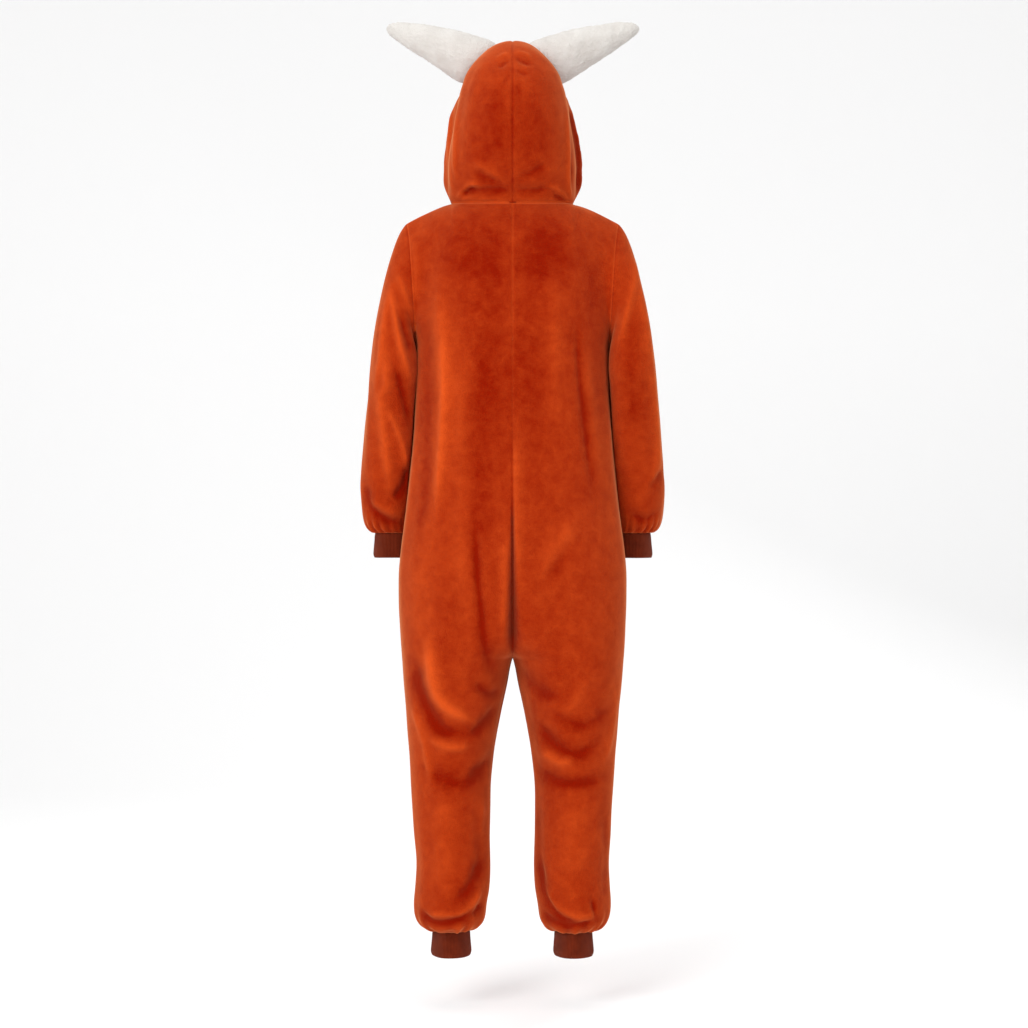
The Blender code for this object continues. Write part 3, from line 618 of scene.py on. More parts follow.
# %% [markdown]
# ## Folds
#
# A worn suit hangs in folds where cloth is spare: down the back, across the seat and thighs, at the
# knees, and above the cuffs. A simulation would give folds, but not these ones. So each fold is drawn
# as a line on the suit as it is seen from behind, in millimetres, with a height and a half width. Ridges
# rise along the surface's normal and troughs sink. The same strength is kept in an attribute, and the
# plush material reads it to paint shade into the troughs and a highlight onto the ridges.

# %% Table of folds
# A row for each fold: its rise and its half width, then x and z of the places that its line runs
# through, all in mm.
FOLDS = {}
FOLDS["back_left"] = (
    (-2.3, 60, -30, -30, -60, -70, -70, -140),  # the deep tone under the neck
    (2.4, 20, -118, -1030, -124, -1110, -118, -1190),  # painted highlight down the calf
    (-2.6, 9, -54, -1060, -58, -1130, -56, -1200),  # painted shade at the leg's inner side
    (-1.3, 46, -20, -40, -26, -260, -30, -540),  # the hollow of the back, in painted shade
    (2.0, 24, -140, -520, -158, -640, -150, -790),  # the full side of the hips
    (5.0, 14, -132, -133, -118, -308, -122, -413, -133, -560),  # ridge down the shoulder blade
    (3.0, 6, -121, -230, -119, -320, -123, -420, -131, -540),  # its crest
    (-2.4, 12, -152, -168, -147, -308, -152, -466, -166, -623),  # soft trough between it and the side
    (2.2, 5, -172, -190, -168, -320, -174, -460, -186, -560),  # painted highlight where the panel turns to the side
    (-4.5, 7, -66, -560, -63, -635, -57, -700, -48, -775, -30, -835),  # long trough beside the seat
    (-1.6, 20, -50, -200, -56, -330, -60, -480, -64, -640),  # soft dark reach above it
    (2.0, 13, -92, -238, -90, -466, -89, -623, -75, -763),  # ridge between
    (3.0, 10, -13, -570, -13, -693, -12, -789),  # ridge along the seat cleft
    (2.5, 8, -176, -58, -169, -110, -171, -177),  # armhole ridge
    (8.7, 10, -146, -770, -137, -840, -118, -878, -71, -906),  # seat drag 1
    (-7.2, 12, -173, -798, -159, -863, -124, -920, -89, -924),  # seat drag trough
    (-4.3, 9, -66, -836, -40, -858, -17, -850),  # short crotch trough
    (-5.8, 10, -75, -933, -45, -903, -27, -877),  # thigh trough
    (5.8, 9, -145, -933, -106, -950, -75, -947),  # thigh ridge
    (-5.1, 10, -75, -1003, -40, -973, -36, -950),  # knee trough
    (-3.4, 13, -158, -984, -120, -1008, -76, -1014, -48, -990),  # closed pile above the knee
    (4.3, 6, -176, -872, -153, -947, -141, -1020),  # side line
    (3.6, 6, -54, -1043, -55, -1078, -57, -1113),  # inner line
    (-5.8, 10, -54, -1148, -75, -1195, -97, -1218),  # calf trough
    (-6.3, 7, -167, -1230, -139, -1257, -98, -1254, -77, -1241),  # hem puff
    (4.6, 5, -160, -1238, -122, -1244, -90, -1240, -68, -1221, -52, -1190),  # fold that sweeps down to it
    (-4.6, 5, -70, -1246, -62, -1237, -56, -1224),  # inner nick
    (2.9, 4, -150, -1264, -115, -1268, -80, -1262),  # lowest roll
)
FOLDS["back_right"] = (
    (2.0, 5, 171, -190, 168, -320, 174, -460),  # painted highlight where the panel turns to the side
    (-2.3, 60, 30, -30, 60, -70, 70, -140),  # the deep tone under the neck
    (2.2, 22, 104, -1040, 112, -1110, 106, -1185),  # painted highlight down the calf
    (-2.6, 8, 42, -1040, 46, -1120, 50, -1200),  # painted shade at the leg's inner side
    (-2.4, 8, 160, -1060, 164, -1150, 160, -1225),  # and at its outer side
    (-1.3, 42, 20, -40, 30, -260, 40, -480),  # the hollow of the back
    (-1.6, 20, 138, -60, 148, -240, 156, -420),  # painted shade at the side under the arm
    (2.4, 3.5, 3, -400, 4, -500, 6, -620),  # fine ridge beside the seam
    (-3.4, 7, 111, -198, 118, -299, 130, -422, 144, -518),  # long trough
    (2.0, 10, 128, -260, 140, -360, 152, -470),  # soft rise beside it
    (2.5, 14, 69, -124, 74, -212, 78, -378),  # soft bright ridge
    (3.0, 14, 118, -544, 57, -632, 48, -710),  # seat ridge
    (-2.5, 12, 100, -600, 69, -644, 39, -679),  # seat hollow
    (2.5, 9, 9, -378, 9, -553, 11, -693),  # ridge along the cleft
    (-3.6, 11, 8, -800, 30, -838, 57, -858, 88, -864),  # crotch drag
    (-5.2, 12, 40, -905, 74, -945, 109, -964, 148, -945),  # thigh drag
    (-3.4, 11, 66, -893, 92, -904, 127, -914, 176, -880),  # thigh drag up
    (5.8, 9, 48, -956, 83, -976, 109, -973),  # thigh ridge
    (-5.2, 12, 40, -980, 60, -1000, 86, -1012, 122, -1014, 156, -1000),  # knee trough
    (2.2, 9, 136, -822, 111, -868, 84, -905),  # diagonal line
    (-5.5, 9, 39, -1139, 57, -1204, 83, -1248, 125, -1264),  # calf trough
    (4.6, 6, 53, -1190, 80, -1232, 120, -1248, 150, -1240),  # calf ridge
    (-5.2, 6, 44, -1232, 74, -1258, 105, -1266, 150, -1252),  # hem trough
    (-4.0, 4, 139, -1215, 143, -1235, 146, -1252),  # side nick
    (3.6, 6, 190, -819, 170, -938, 156, -982),  # side crease
)
FOLDS["sleeve_left"] = (
    (4.0, 6, -204, -116, -188, -159, -173, -198),  # ridge to the armhole
    (5.8, 6, -211, -142, -206, -198, -194, -259, -178, -308),  # long ridge
    (5.8, 9, -225, -220, -220, -308, -229, -343, -223, -416, -211, -518),  # outer ridge
    (5.2, 6, -220, -352, -194, -416, -185, -466),  # inner ridge
    (-4.0, 7, -197, -194, -187, -226, -176, -259),  # armpit trough
    (-4.6, 7, -205, -285, -191, -335, -181, -385),  # trough by the elbow
    (4.0, 6, -213, -143, -222, -194, -230, -268, -240, -330),  # outer edge
    (-5.2, 9, -258, -483, -250, -527, -220, -553, -188, -562),  # elbow trough
    (-6.3, 9, -211, -518, -188, -492, -180, -457),  # deep trough
    (3.4, 7, -250, -518, -220, -536, -197, -544),  # puff ridge
)
FOLDS["sleeve_right"] = (
    (4.0, 7, 207, -80, 212, -133, 188, -242),  # inner ridge
    (4.5, 8, 218, -110, 227, -180, 238, -250, 252, -380, 250, -466, 218, -527),  # outer ridge
    (-4.0, 8, 261, -466, 251, -483, 240, -500),  # wrist trough
    (-1.6, 9, 212, -168, 206, -273, 214, -396),  # upper trough
    (-3.5, 8, 205, -544, 232, -553, 258, -539),  # puff trough
)
FOLDS["hood_left"] = (
    (-1.7, 38, -30, 220, -42, 130, -40, 60),  # the deep tone over the crown
    (5.0, 4, -106, 182, -110, 94, -106, 16),  # twin ridge outside
    (4.5, 4, -96, 191, -101, 94, -99, 42),  # twin ridge inside
    (2.5, 7, -71, 74, -48, 63, -19, 42),  # base drape ridge
    (-2.5, 7, -66, 52, -47, 47, -24, 38),  # base drape trough
    (4.5, 4, -97, 8, -83, 26, -70, 36, -56, 32),  # base ridge
    (-5.0, 3.5, -86, 16, -76, 26, -68, 25),  # nick under it
    (3.0, 4, -92, 4, -76, 13, -58, 15),  # ridge below the nick
    (-3.0, 4, -4, 252, -14, 246, -26, 238),  # puckers beside the crown seam
    (2.5, 3.5, -4, 262, -16, 260, -30, 252),
    (-1.8, 3.5, -3, 228, -9, 222, -16, 212),
    (2.5, 6, -83, 9, -40, 7, 1, 7),  # roll above the seam
    (-3.0, 7, -83, 23, -40, 24, 1, 24),  # hollow above the roll
)
FOLDS["hood_right"] = (
    (-9.0, 7, 109, 172, 118, 100, 119, 50, 110, 6),  # painted shadow of the roll, behind the face opening
    (-1.7, 38, 30, 220, 42, 130, 40, 60),  # the deep tone over the crown
    (-7.0, 5, 101, 176, 107, 94, 104, 30),  # side trough
    (4.5, 3.5, 95, 182, 98, 94, 98, 40, 103, 4),  # ridge before it
    (-3.0, 4, 4, 256, 16, 250, 32, 243),  # puckers beside the crown seam
    (2.5, 3.5, 4, 264, 18, 263, 34, 256),
    (-2.2, 4, 4, 236, 16, 229, 28, 226),
    (-1.8, 3.5, 3, 208, 9, 202, 14, 190),
    (-3.0, 7, 13, 47, 36, 56, 57, 68),  # base trough high
    (-4.0, 4, 70, 16, 84, 9, 94, 3),  # base trough low
    (4.0, 3.5, 60, 33, 76, 27, 90, 14, 101, 1),  # arc above it
    (2.5, 6, 1, 7, 39, 7, 83, 7),  # roll above the seam
    (-3.0, 7, 1, 24, 39, 23, 65, 28),  # hollow above the roll
)
# Softer folds for the sides that are not seen from behind, as an even pull on the same cloth gives. x is
# that of the right half here, and the left half mirrors it.
FRONT_FOLDS = {}
FRONT_FOLDS["front"] = (
    (4.5, 22, 88, -180, 78, -380, 108, -620),
    (-3.0, 20, 40, -240, 46, -420, 36, -640),
    (4.0, 15, 150, -700, 120, -780, 70, -850),
    (-4.5, 14, 160, -780, 118, -860, 62, -880),
    (4.0, 13, 150, -960, 108, -1000, 66, -985),
    (-4.5, 12, 152, -1000, 110, -1040, 70, -1022),
    (-4.0, 12, 146, -1170, 110, -1205, 66, -1190),
    (-3.5, 8, 140, -1235, 105, -1250, 70, -1240),
    (3.5, 14, 150, -90, 128, -150, 120, -230),
)
FRONT_FOLDS["sleeve"] = (
    (4.0, 12, 232, -160, 226, -300, 205, -420),
    (-4.0, 11, 240, -300, 232, -400, 206, -470),
    (3.5, 10, 252, -420, 236, -480, 210, -520),
    (-3.0, 8, 248, -530, 230, -545, 212, -538),
)
print("folds seen from behind:", sum(len(rows) for rows in FOLDS.values()))

# %% Lines through a fold's places
LINE_STEPS = 7
# A fold's cross section falls off with this power, and its ends keep a part of its strength.
FOLD_POWER = 1.8
FOLD_ENDS, END_STRENGTH = 0.22, 0.25


def fold_line(places):
    """A smooth line through a few places, given as x, z, x, z in mm, as points in metres."""
    knots = np.reshape(places, (-1, 2)) / 1000
    ends = np.concatenate([[2 * knots[0] - knots[1]], knots, [2 * knots[-1] - knots[-2]]])
    points = []
    for a, b, c, d in zip(ends, ends[1:], ends[2:], ends[3:]):
        for t in np.arange(LINE_STEPS) / LINE_STEPS:
            bend, twist = (2 * a - 5 * b + 4 * c - d) * t**2, (3 * b - a - 3 * c + d) * t**3
            points.append(0.5 * (2 * b + (c - a) * t + bend + twist))
    return np.array(points + [knots[-1]])


def from_behind(points):
    """Where each point is seen from the camera's place, on the upright plane through the shoulders."""
    scale = -CAMERA_PLACE.y / (points[..., 1] - CAMERA_PLACE.y)
    middle = np.array([CAMERA_PLACE.x, CAMERA_PLACE.z])
    return middle + (points[..., [0, 2]] - middle) * scale[..., None]


def fold_strength(flat, line, reach):
    """1 on a fold's line, less at its ends, and 0 away from it."""
    strength = np.zeros(flat.shape[:-1])
    low, high = line.min(axis=0) - 3 * reach, line.max(axis=0) + 3 * reach
    near = ((flat > low) & (flat < high)).all(axis=-1)
    places = flat[near]
    if not len(places):
        return strength
    along = lengths_along(line)
    best = np.full(len(places), np.inf)
    share = np.zeros(len(places))
    for start, end, before, after in zip(line, line[1:], along, along[1:]):
        run = end - start
        t = np.clip(((places - start) @ run) / (run @ run), 0.0, 1.0)
        gap = np.linalg.norm(places - start - t[:, None] * run, axis=1)
        closer = gap < best
        best[closer] = gap[closer]
        share[closer] = ((before + t * (after - before)) / along[-1])[closer]
    ends = np.clip(np.minimum(share, 1.0 - share) / FOLD_ENDS, 0.0, 1.0)
    ends = END_STRENGTH + (1.0 - END_STRENGTH) * ends * ends * (3 - 2 * ends)
    strength[near] = np.exp(-((best / reach) ** FOLD_POWER)) * ends
    return strength


print("a fold line has", len(fold_line((0, 0, 10, 10, 20, 0))), "points")

# %% Normals of a grid, and the folds on it
# Painted shade for each metre that a fold sinks, and painted highlight for each metre that it rises.
PAINTED_SHADE_PER_METRE = 1 / 0.0045
# A fold counts in full where the cloth faces the viewer, and fades as it turns away.
FACING_GAIN, FACING_START = 1.8, 0.15


def grid_normals(points, ring, outward):
    down = np.gradient(points, axis=0)
    if ring:
        across = (np.roll(points, -1, axis=1) - np.roll(points, 1, axis=1)) / 2
    else:
        across = np.gradient(points, axis=1)
    return unit(outward * np.cross(across, down))


def folded(points, normals, rows, face, mirror):
    """Moves a grid's points along its normals by a table of folds, and gives their painted shade and
    highlight.
    """
    flat = from_behind(points) if face < 0 else points[..., [0, 2]]
    facing = np.clip(FACING_GAIN * face * normals[..., 1] + FACING_START, 0.0, 1.0)
    rise = np.zeros(points.shape[:-1])
    for height, reach, *places in rows:
        line = fold_line(places) * (mirror, 1)
        rise += height / 1000 * fold_strength(flat, line, reach / 1000) * facing
    return points + rise[..., None] * normals, rise * PAINTED_SHADE_PER_METRE


# %% [markdown]
# Below the waist the centre-back seam is pulled forward between the two sides of the seat. It starts as
# a thin crease and gets wider and deeper down to the crotch.

# %% Crease along the centre-back seam
CREASE_PAINTED_SHADE = -0.14  # painted shade for each mm of depth
CREASE = (
    # z, depth and half width, all mm
    (-510, 0.0, 2.5),
    (-550, 4.0, 3.0),
    (-650, 11.0, 5.0),
    (-745, 19.0, 8.5),
    (-790, 0.0, 9.0),
)


def seat_crease(points):
    """Sinks the back's centre edge, and gives the painted shade that goes with the crease."""
    z, depth, reach = (np.array(CREASE)[::-1] / 1000).T
    strength = np.exp(-((points[..., 0] / np.interp(points[..., 2], z, reach)) ** 2))
    sunk = np.interp(points[..., 2], z, depth) * strength
    return points + sunk[..., None] * np.array([0.0, 1.0, 0.0]), CREASE_PAINTED_SHADE * sunk * 1000


print("crease runs down to", CREASE[-1][0], "mm")

# %% Slow waves that keep large areas from looking pressed
WAVES = 9
WAVE_UPRIGHT = 0.45  # below 1, so a wave is longer down the suit than across it


def slow_waves(points, seed, height, length):
    """A sum of long waves in different directions, the same each time for one seed."""
    draw = np.random.default_rng(seed)
    total = np.zeros(points.shape[:-1])
    for _ in range(WAVES):
        way = draw.normal(size=3) * (1.0, 1.0, WAVE_UPRIGHT)
        total += np.sin(points @ way * (2 * math.pi / length) + draw.uniform(0, 2 * math.pi))
    return height * total / math.sqrt(WAVES)


print("waves:", WAVES)

# %% Gathers above a cuff
GATHER_WANDER = 1.6  # how far the pleats stray from even spacing, as an angle
GATHER_SIZES = (0.65, 0.35)  # their mean size, and how much it varies round the cuff
# Painted light on the pleats: lighter on each ridge, painted shade in each trough.
GATHER_PAINTED_SHADE = 0.6


def gathers(points, normals, count, depth, fade, seed, ring):
    """Small pleats that start at the last row, where the cuff draws the cloth in, and fade upwards."""
    draw = np.random.default_rng(seed)
    steps = steps_of(points, 0)
    above = np.concatenate([np.cumsum(steps[::-1], axis=0)[::-1], np.zeros((1, points.shape[1]))])
    across = np.linspace(0.0, 1.0, points.shape[1], endpoint=not ring)
    turns = 2 * math.pi
    waves = ((n, draw.uniform(0.4, 1.0), draw.uniform()) for n in (1, 2, 3))
    wander = sum(share * np.sin(turns * (n * across + start)) / n for n, share, start in waves)
    wave = np.sin(turns * count * across + GATHER_WANDER * wander)
    size = GATHER_SIZES[0] + GATHER_SIZES[1] * np.sin(turns * (3 * across + draw.uniform()))
    fall = (above / fade) * np.exp(1.0 - above / fade)
    rise = depth * wave * size * fall
    # The second value is painted highlight on the pleats' ridges and painted shade in their troughs.
    return points + rise[..., None] * normals, GATHER_PAINTED_SHADE * rise / depth


print("gathers ready")

# %% [markdown]
# ## Finishes
#
# Plush is a knit with a short upright pile. Three things make it read as plush: a soft light at grazing
# angles, which is sheen; patches where the pile was stroked another way; and fibres too small to see one
# by one. Rust and cream plush share these patterns, so they are one node group with named inputs. The
# colours and the sheen belong to each material.

# %% Node helpers
MIX_FIRST, MIX_SECOND, MIX_RESULT = 6, 7, 2  # the colour sockets of a mix node


def node(tree, kind, inputs, **settings):
    """Adds a node, sets it, and fills its inputs with values or links."""
    made = tree.nodes.new(kind)
    for key, value in settings.items():
        setattr(made, key, value)
    fill(tree, made, inputs)
    return made


def maths(tree, operation, a, b=0.0, c=0.0):
    return node(tree, "ShaderNodeMath", {0: a, 1: b, 2: c}, operation=operation)


def colour_mix(tree, share, first, second):
    inputs = {0: share, MIX_FIRST: first, MIX_SECOND: second}
    return node(tree, "ShaderNodeMix", inputs, data_type="RGBA").outputs[MIX_RESULT]


def colour_ramp(tree, value, *stops):
    made = node(tree, "ShaderNodeValToRGB", {0: value})
    for element, (position, colour) in zip(made.color_ramp.elements, stops):
        element.position, element.color = position, linear(*colour)
    return made


def object_place(tree):
    return node(tree, "ShaderNodeTexCoord", {}).outputs["Object"]


def attribute(tree, name):
    return node(tree, "ShaderNodeAttribute", {}, attribute_name=name).outputs["Fac"]


def linear(red, green, blue):
    """A colour as a shader wants it, from the 0 to 255 values that a screen shows."""
    def channel(value):
        value /= 255
        return value / 12.92 if value <= 0.04045 else ((value + 0.055) / 1.055) ** 2.4

    return (channel(red), channel(green), channel(blue), 1.0)


print("mid rust is", [round(v, 3) for v in linear(192, 62, 18)])

# %% Pile of the plush, shared by both plush colours
BASE_TONE, FIBRE_STRENGTH = 0.295, 0.07
PILE_INPUTS = {
    "Patches per metre": 15.0,
    "Patch strength": 0.3,
    "Strokes per metre": 48.0,
    "Stroke strength": 0.2,
    "Fibres per metre": 620.0,
    "Painted light": 0.0,
}


def pile_group():
    tree = bpy.data.node_groups.new("plush_pile", "ShaderNodeTree")
    face = tree.interface
    face.new_socket(name="Place", in_out="INPUT", socket_type="NodeSocketVector")
    for name in ("Deep colour", "Bright colour"):
        face.new_socket(name=name, in_out="INPUT", socket_type="NodeSocketColor")
    for name, value in PILE_INPUTS.items():
        face.new_socket(name=name, in_out="INPUT", socket_type="NodeSocketFloat").default_value = value
    face.new_socket(name="Colour", in_out="OUTPUT", socket_type="NodeSocketColor")
    face.new_socket(name="Height", in_out="OUTPUT", socket_type="NodeSocketFloat")
    given = tree.nodes.new("NodeGroupInput").outputs

    def noise(scale, detail, roughness, vector):
        """Noise that runs from -1 to 1."""
        look = {"Vector": vector, "Scale": scale, "Detail": detail, "Roughness": roughness}
        made = node(tree, "ShaderNodeTexNoise", {**look, "Distortion": 0.25})
        spread = {"Value": made, "From Min": 0.3, "From Max": 0.7, "To Min": -1.0, "To Max": 1.0}
        return node(tree, "ShaderNodeMapRange", spread)

    # The pile is brushed downwards, so the patches are longer than they are wide.
    brushed = node(tree, "ShaderNodeMapping", {"Vector": given["Place"], "Scale": (1.0, 1.0, 0.5)})
    patch = noise(given["Patches per metre"], 2.0, 0.5, brushed)
    stroke = noise(given["Strokes per metre"], 4.0, 0.68, given["Place"])
    fibre = noise(given["Fibres per metre"], 2.0, 0.55, given["Place"])
    tone = maths(tree, "MULTIPLY_ADD", patch, given["Patch strength"], BASE_TONE)
    tone = maths(tree, "MULTIPLY_ADD", stroke, given["Stroke strength"], tone)
    # Adds the painted shade and highlight of the folds, the seams and the turned away sides.
    tone = maths(tree, "ADD", tone, given["Painted light"])
    tone = maths(tree, "MULTIPLY_ADD", fibre, FIBRE_STRENGTH, tone)
    wanted = {
        "Colour": colour_mix(tree, tone, given["Deep colour"], given["Bright colour"]),
        "Height": maths(tree, "MULTIPLY_ADD", stroke, 0.5, fibre),
    }
    node(tree, "NodeGroupOutput", wanted)
    return tree


pile = pile_group()
print("group inputs:", len([item for item in pile.interface.items_tree if item.in_out == "INPUT"]))

# %% Rust and cream plush
# Painted sheen on the sides that turn away, and a painted highlight in a pale rim colour at their very
# edges.
RIM_HIGHLIGHT_SHARE = 0.8
PAINTED_SHEEN_POWER, RIM_HIGHLIGHT_POWER = 2.0, 6.0


def plush(name, colours, sheen, sheen_tint, rises, fold_shade_share, painted_seam_share, painted_sheen_share, **pattern):
    """Plush from a deep, a bright and a pale rim colour, which is a painted highlight. The shares say
    how much painted shade and highlight the folds, the seams and the turned away sides add to the tone."""
    deep, bright, rim_highlight_colour = (linear(*colour) for colour in colours)
    material, tree, shader = new_material(name)
    # The tone attribute brings the painted shade and highlight of the folds, the crease and the gathers.
    tone = maths(tree, "MULTIPLY", attribute(tree, "tone"), fold_shade_share)
    tone = maths(tree, "MULTIPLY_ADD", attribute(tree, "seam"), painted_seam_share, tone)
    # Painted sheen: the tone rises where a form turns away, and its very edge takes the pale rim colour.
    facing = node(tree, "ShaderNodeLayerWeight", {"Blend": 0.5}).outputs["Facing"]
    tone = maths(tree, "MULTIPLY_ADD", maths(tree, "POWER", facing, PAINTED_SHEEN_POWER), painted_sheen_share, tone)
    given = {"Place": object_place(tree), "Painted light": tone, "Deep colour": deep, "Bright colour": bright}
    given.update((key.replace("_", " ").capitalize(), value) for key, value in pattern.items())
    cloth = node(tree, "ShaderNodeGroup", given, node_tree=pile)
    painted_rim = maths(tree, "MULTIPLY", maths(tree, "POWER", facing, RIM_HIGHLIGHT_POWER), RIM_HIGHLIGHT_SHARE)
    bump = {"Height": cloth.outputs["Height"], "Distance": rises, "Strength": 1.0}
    look = {
        "Base Color": colour_mix(tree, painted_rim, cloth.outputs["Colour"], rim_highlight_colour),
        "Normal": node(tree, "ShaderNodeBump", bump),
        "Roughness": 0.92,
        "Specular IOR Level": 0.0,
        "Sheen Weight": sheen,
        "Sheen Roughness": 0.45,
        "Sheen Tint": sheen_tint,
    }
    fill(tree, shader, look)
    return material


# The third colour of each plush is the pale colour of its painted rim highlight.
rust_plush = plush(
    "rust_plush",
    ((143, 20, 1), (221, 83, 29), (236, 158, 110)),
    sheen=0.25,
    sheen_tint=(1.0, 0.30, 0.12, 1.0),
    rises=0.0007,
    fold_shade_share=0.36,
    painted_seam_share=0.36,
    painted_sheen_share=0.37,
    patch_strength=0.07,
    stroke_strength=0.13,
)
cream_plush = plush(
    "cream_plush",
    ((212, 207, 201), (232, 229, 224), (246, 245, 243)),
    sheen=0.30,
    sheen_tint=(1.0, 0.97, 0.94, 1.0),
    rises=0.0006,
    fold_shade_share=0.30,
    painted_seam_share=0.0,
    painted_sheen_share=0.0,
    patches_per_metre=30.0,
    patch_strength=0.2,
    strokes_per_metre=120.0,
    stroke_strength=0.16,
)
print("plush materials:", rust_plush.name, cream_plush.name)

# %% [markdown]
# The cuffs are a fine rib knit. A rib runs down the cuff, and there is one about every 2.5 mm. The rib is
# drawn on the cuff's own UV map, whose first number counts the distance round the wrist in metres.

# %% Rib knit
RIBS_PER_METRE, LOOPS_PER_METRE = 400.0, 620.0


def waves_on(tree, value, per_metre):
    return maths(tree, "SINE", maths(tree, "MULTIPLY", value, per_metre * 2 * math.pi))


knit, tree, shader = new_material("brown_knit")
parts = node(tree, "ShaderNodeSeparateXYZ", {"Vector": node(tree, "ShaderNodeUVMap", {}, uv_map="cloth")})
rib = waves_on(tree, parts.outputs[0], RIBS_PER_METRE)
loop = waves_on(tree, parts.outputs[1], LOOPS_PER_METRE)
stitch = maths(tree, "MULTIPLY_ADD", loop, 0.35, rib)
wear = node(tree, "ShaderNodeTexNoise", {"Vector": object_place(tree), "Scale": 55.0, "Detail": 3.0})
# The rib and loop pattern is also painted into the colour, darker in the hollows between them: painted
# shade.
share = maths(tree, "MULTIPLY_ADD", stitch, 0.10, wear)
share.use_clamp = True
look = {
    "Base Color": colour_mix(tree, share, linear(78, 21, 6), linear(128, 45, 19)),
    "Normal": node(tree, "ShaderNodeBump", {"Height": stitch, "Distance": 0.0005}),
    "Roughness": 0.85,
    "Specular IOR Level": 0.06,
    "Sheen Weight": 0.10,
    "Sheen Roughness": 0.5,
    "Sheen Tint": (1.0, 0.45, 0.30, 1.0),
}
fill(tree, shader, look)
print("ribs for each metre:", RIBS_PER_METRE)

# %% Button plastic and thread
button_plastic, tree, shader = new_material("brown_button")
look = {"Vector": object_place(tree), "Scale": 260.0, "Detail": 3.0, "Distortion": 2.0}
swirl = node(tree, "ShaderNodeTexNoise", look)
colour = colour_ramp(tree, swirl, (0.35, (62, 22, 10)), (0.70, (104, 42, 20)))
fill(tree, shader, {"Base Color": colour, "Roughness": 0.5, "Specular IOR Level": 0.12})

thread, tree, shader = new_material("button_thread")
twist = node(tree, "ShaderNodeTexWave", {"Vector": object_place(tree), "Scale": 900.0, "Distortion": 1.0})
# Light and dark bands along the twist: painted highlight and shade of the thread's plies.
colour = colour_ramp(tree, twist.outputs["Fac"], (0.0, (120, 36, 12)), (1.0, (178, 66, 30)))
fill(tree, shader, {"Base Color": colour, "Roughness": 0.8})
print("materials:", len(bpy.data.materials))

# %% [markdown]
# ## From surfaces to cloth
#
# Each surface becomes a wall with an outside, an inside and a rim. Near a seam the outside turns in by
# 1.6 mm, so two panels meet in a soft groove, as sewn plush does.

# %% Distance to a seam, and the wall itself
SEAM_TURN, SEAM_REACH, SEAM_LINE = 0.0016, 0.006, 0.0022
SEAM_BESIDE = 0.006  # a seam's own tone holds as far as this from it
# How much painted light the centre-back seam gets at these heights: a fine painted highlight above and a
# dark line of painted shade below, where it runs into the crease.
BACK_SEAM = ((-0.80, -0.52, -0.36, -0.10), (-1.0, -0.4, 0.1, 0.45))
# The hood's centre seam gets a dark line of painted shade and the neck seam a strong painted highlight. The
# sleeve's seam gets painted shade near the armhole and a painted highlight lower down.
HOOD_SEAM, NECK_SEAM = -0.5, 1.9
SLEEVE_SEAM = ((-0.50, -0.30), (1.0, -0.4))
FOLD_FREE = 0.009  # folds fade out towards a seam over this distance
SHARP_ANGLE = math.radians(55)


def edge_distance(points, ring):
    """How far each point of a grid lies from the nearest edge of its piece."""
    down = steps_of(points, 0)
    start = np.zeros((1, points.shape[1]))
    nearest = np.minimum(
        np.concatenate([start, np.cumsum(down, axis=0)]),
        np.concatenate([np.cumsum(down[::-1], axis=0)[::-1], start]),
    )
    if not ring:
        across = steps_of(points, 1)
        side = np.zeros((points.shape[0], 1))
        first = np.concatenate([side, np.cumsum(across, axis=1)], axis=1)
        last = np.concatenate([np.cumsum(across[:, ::-1], axis=1)[:, ::-1], side], axis=1)
        nearest = np.minimum(nearest, np.minimum(first, last))
    return nearest


def quads(first, second, third, fourth):
    return np.stack([first.ravel(), second.ravel(), third.ravel(), fourth.ravel()], axis=1)


def keep_values(data, key, values):
    """Keeps a number for each point of a mesh, for a material to read."""
    data.attributes.new(key, "FLOAT", "POINT").data.foreach_set("value", values.astype(np.float32))


def triangles(data):
    return sum(len(face.vertices) - 2 for face in data.polygons)


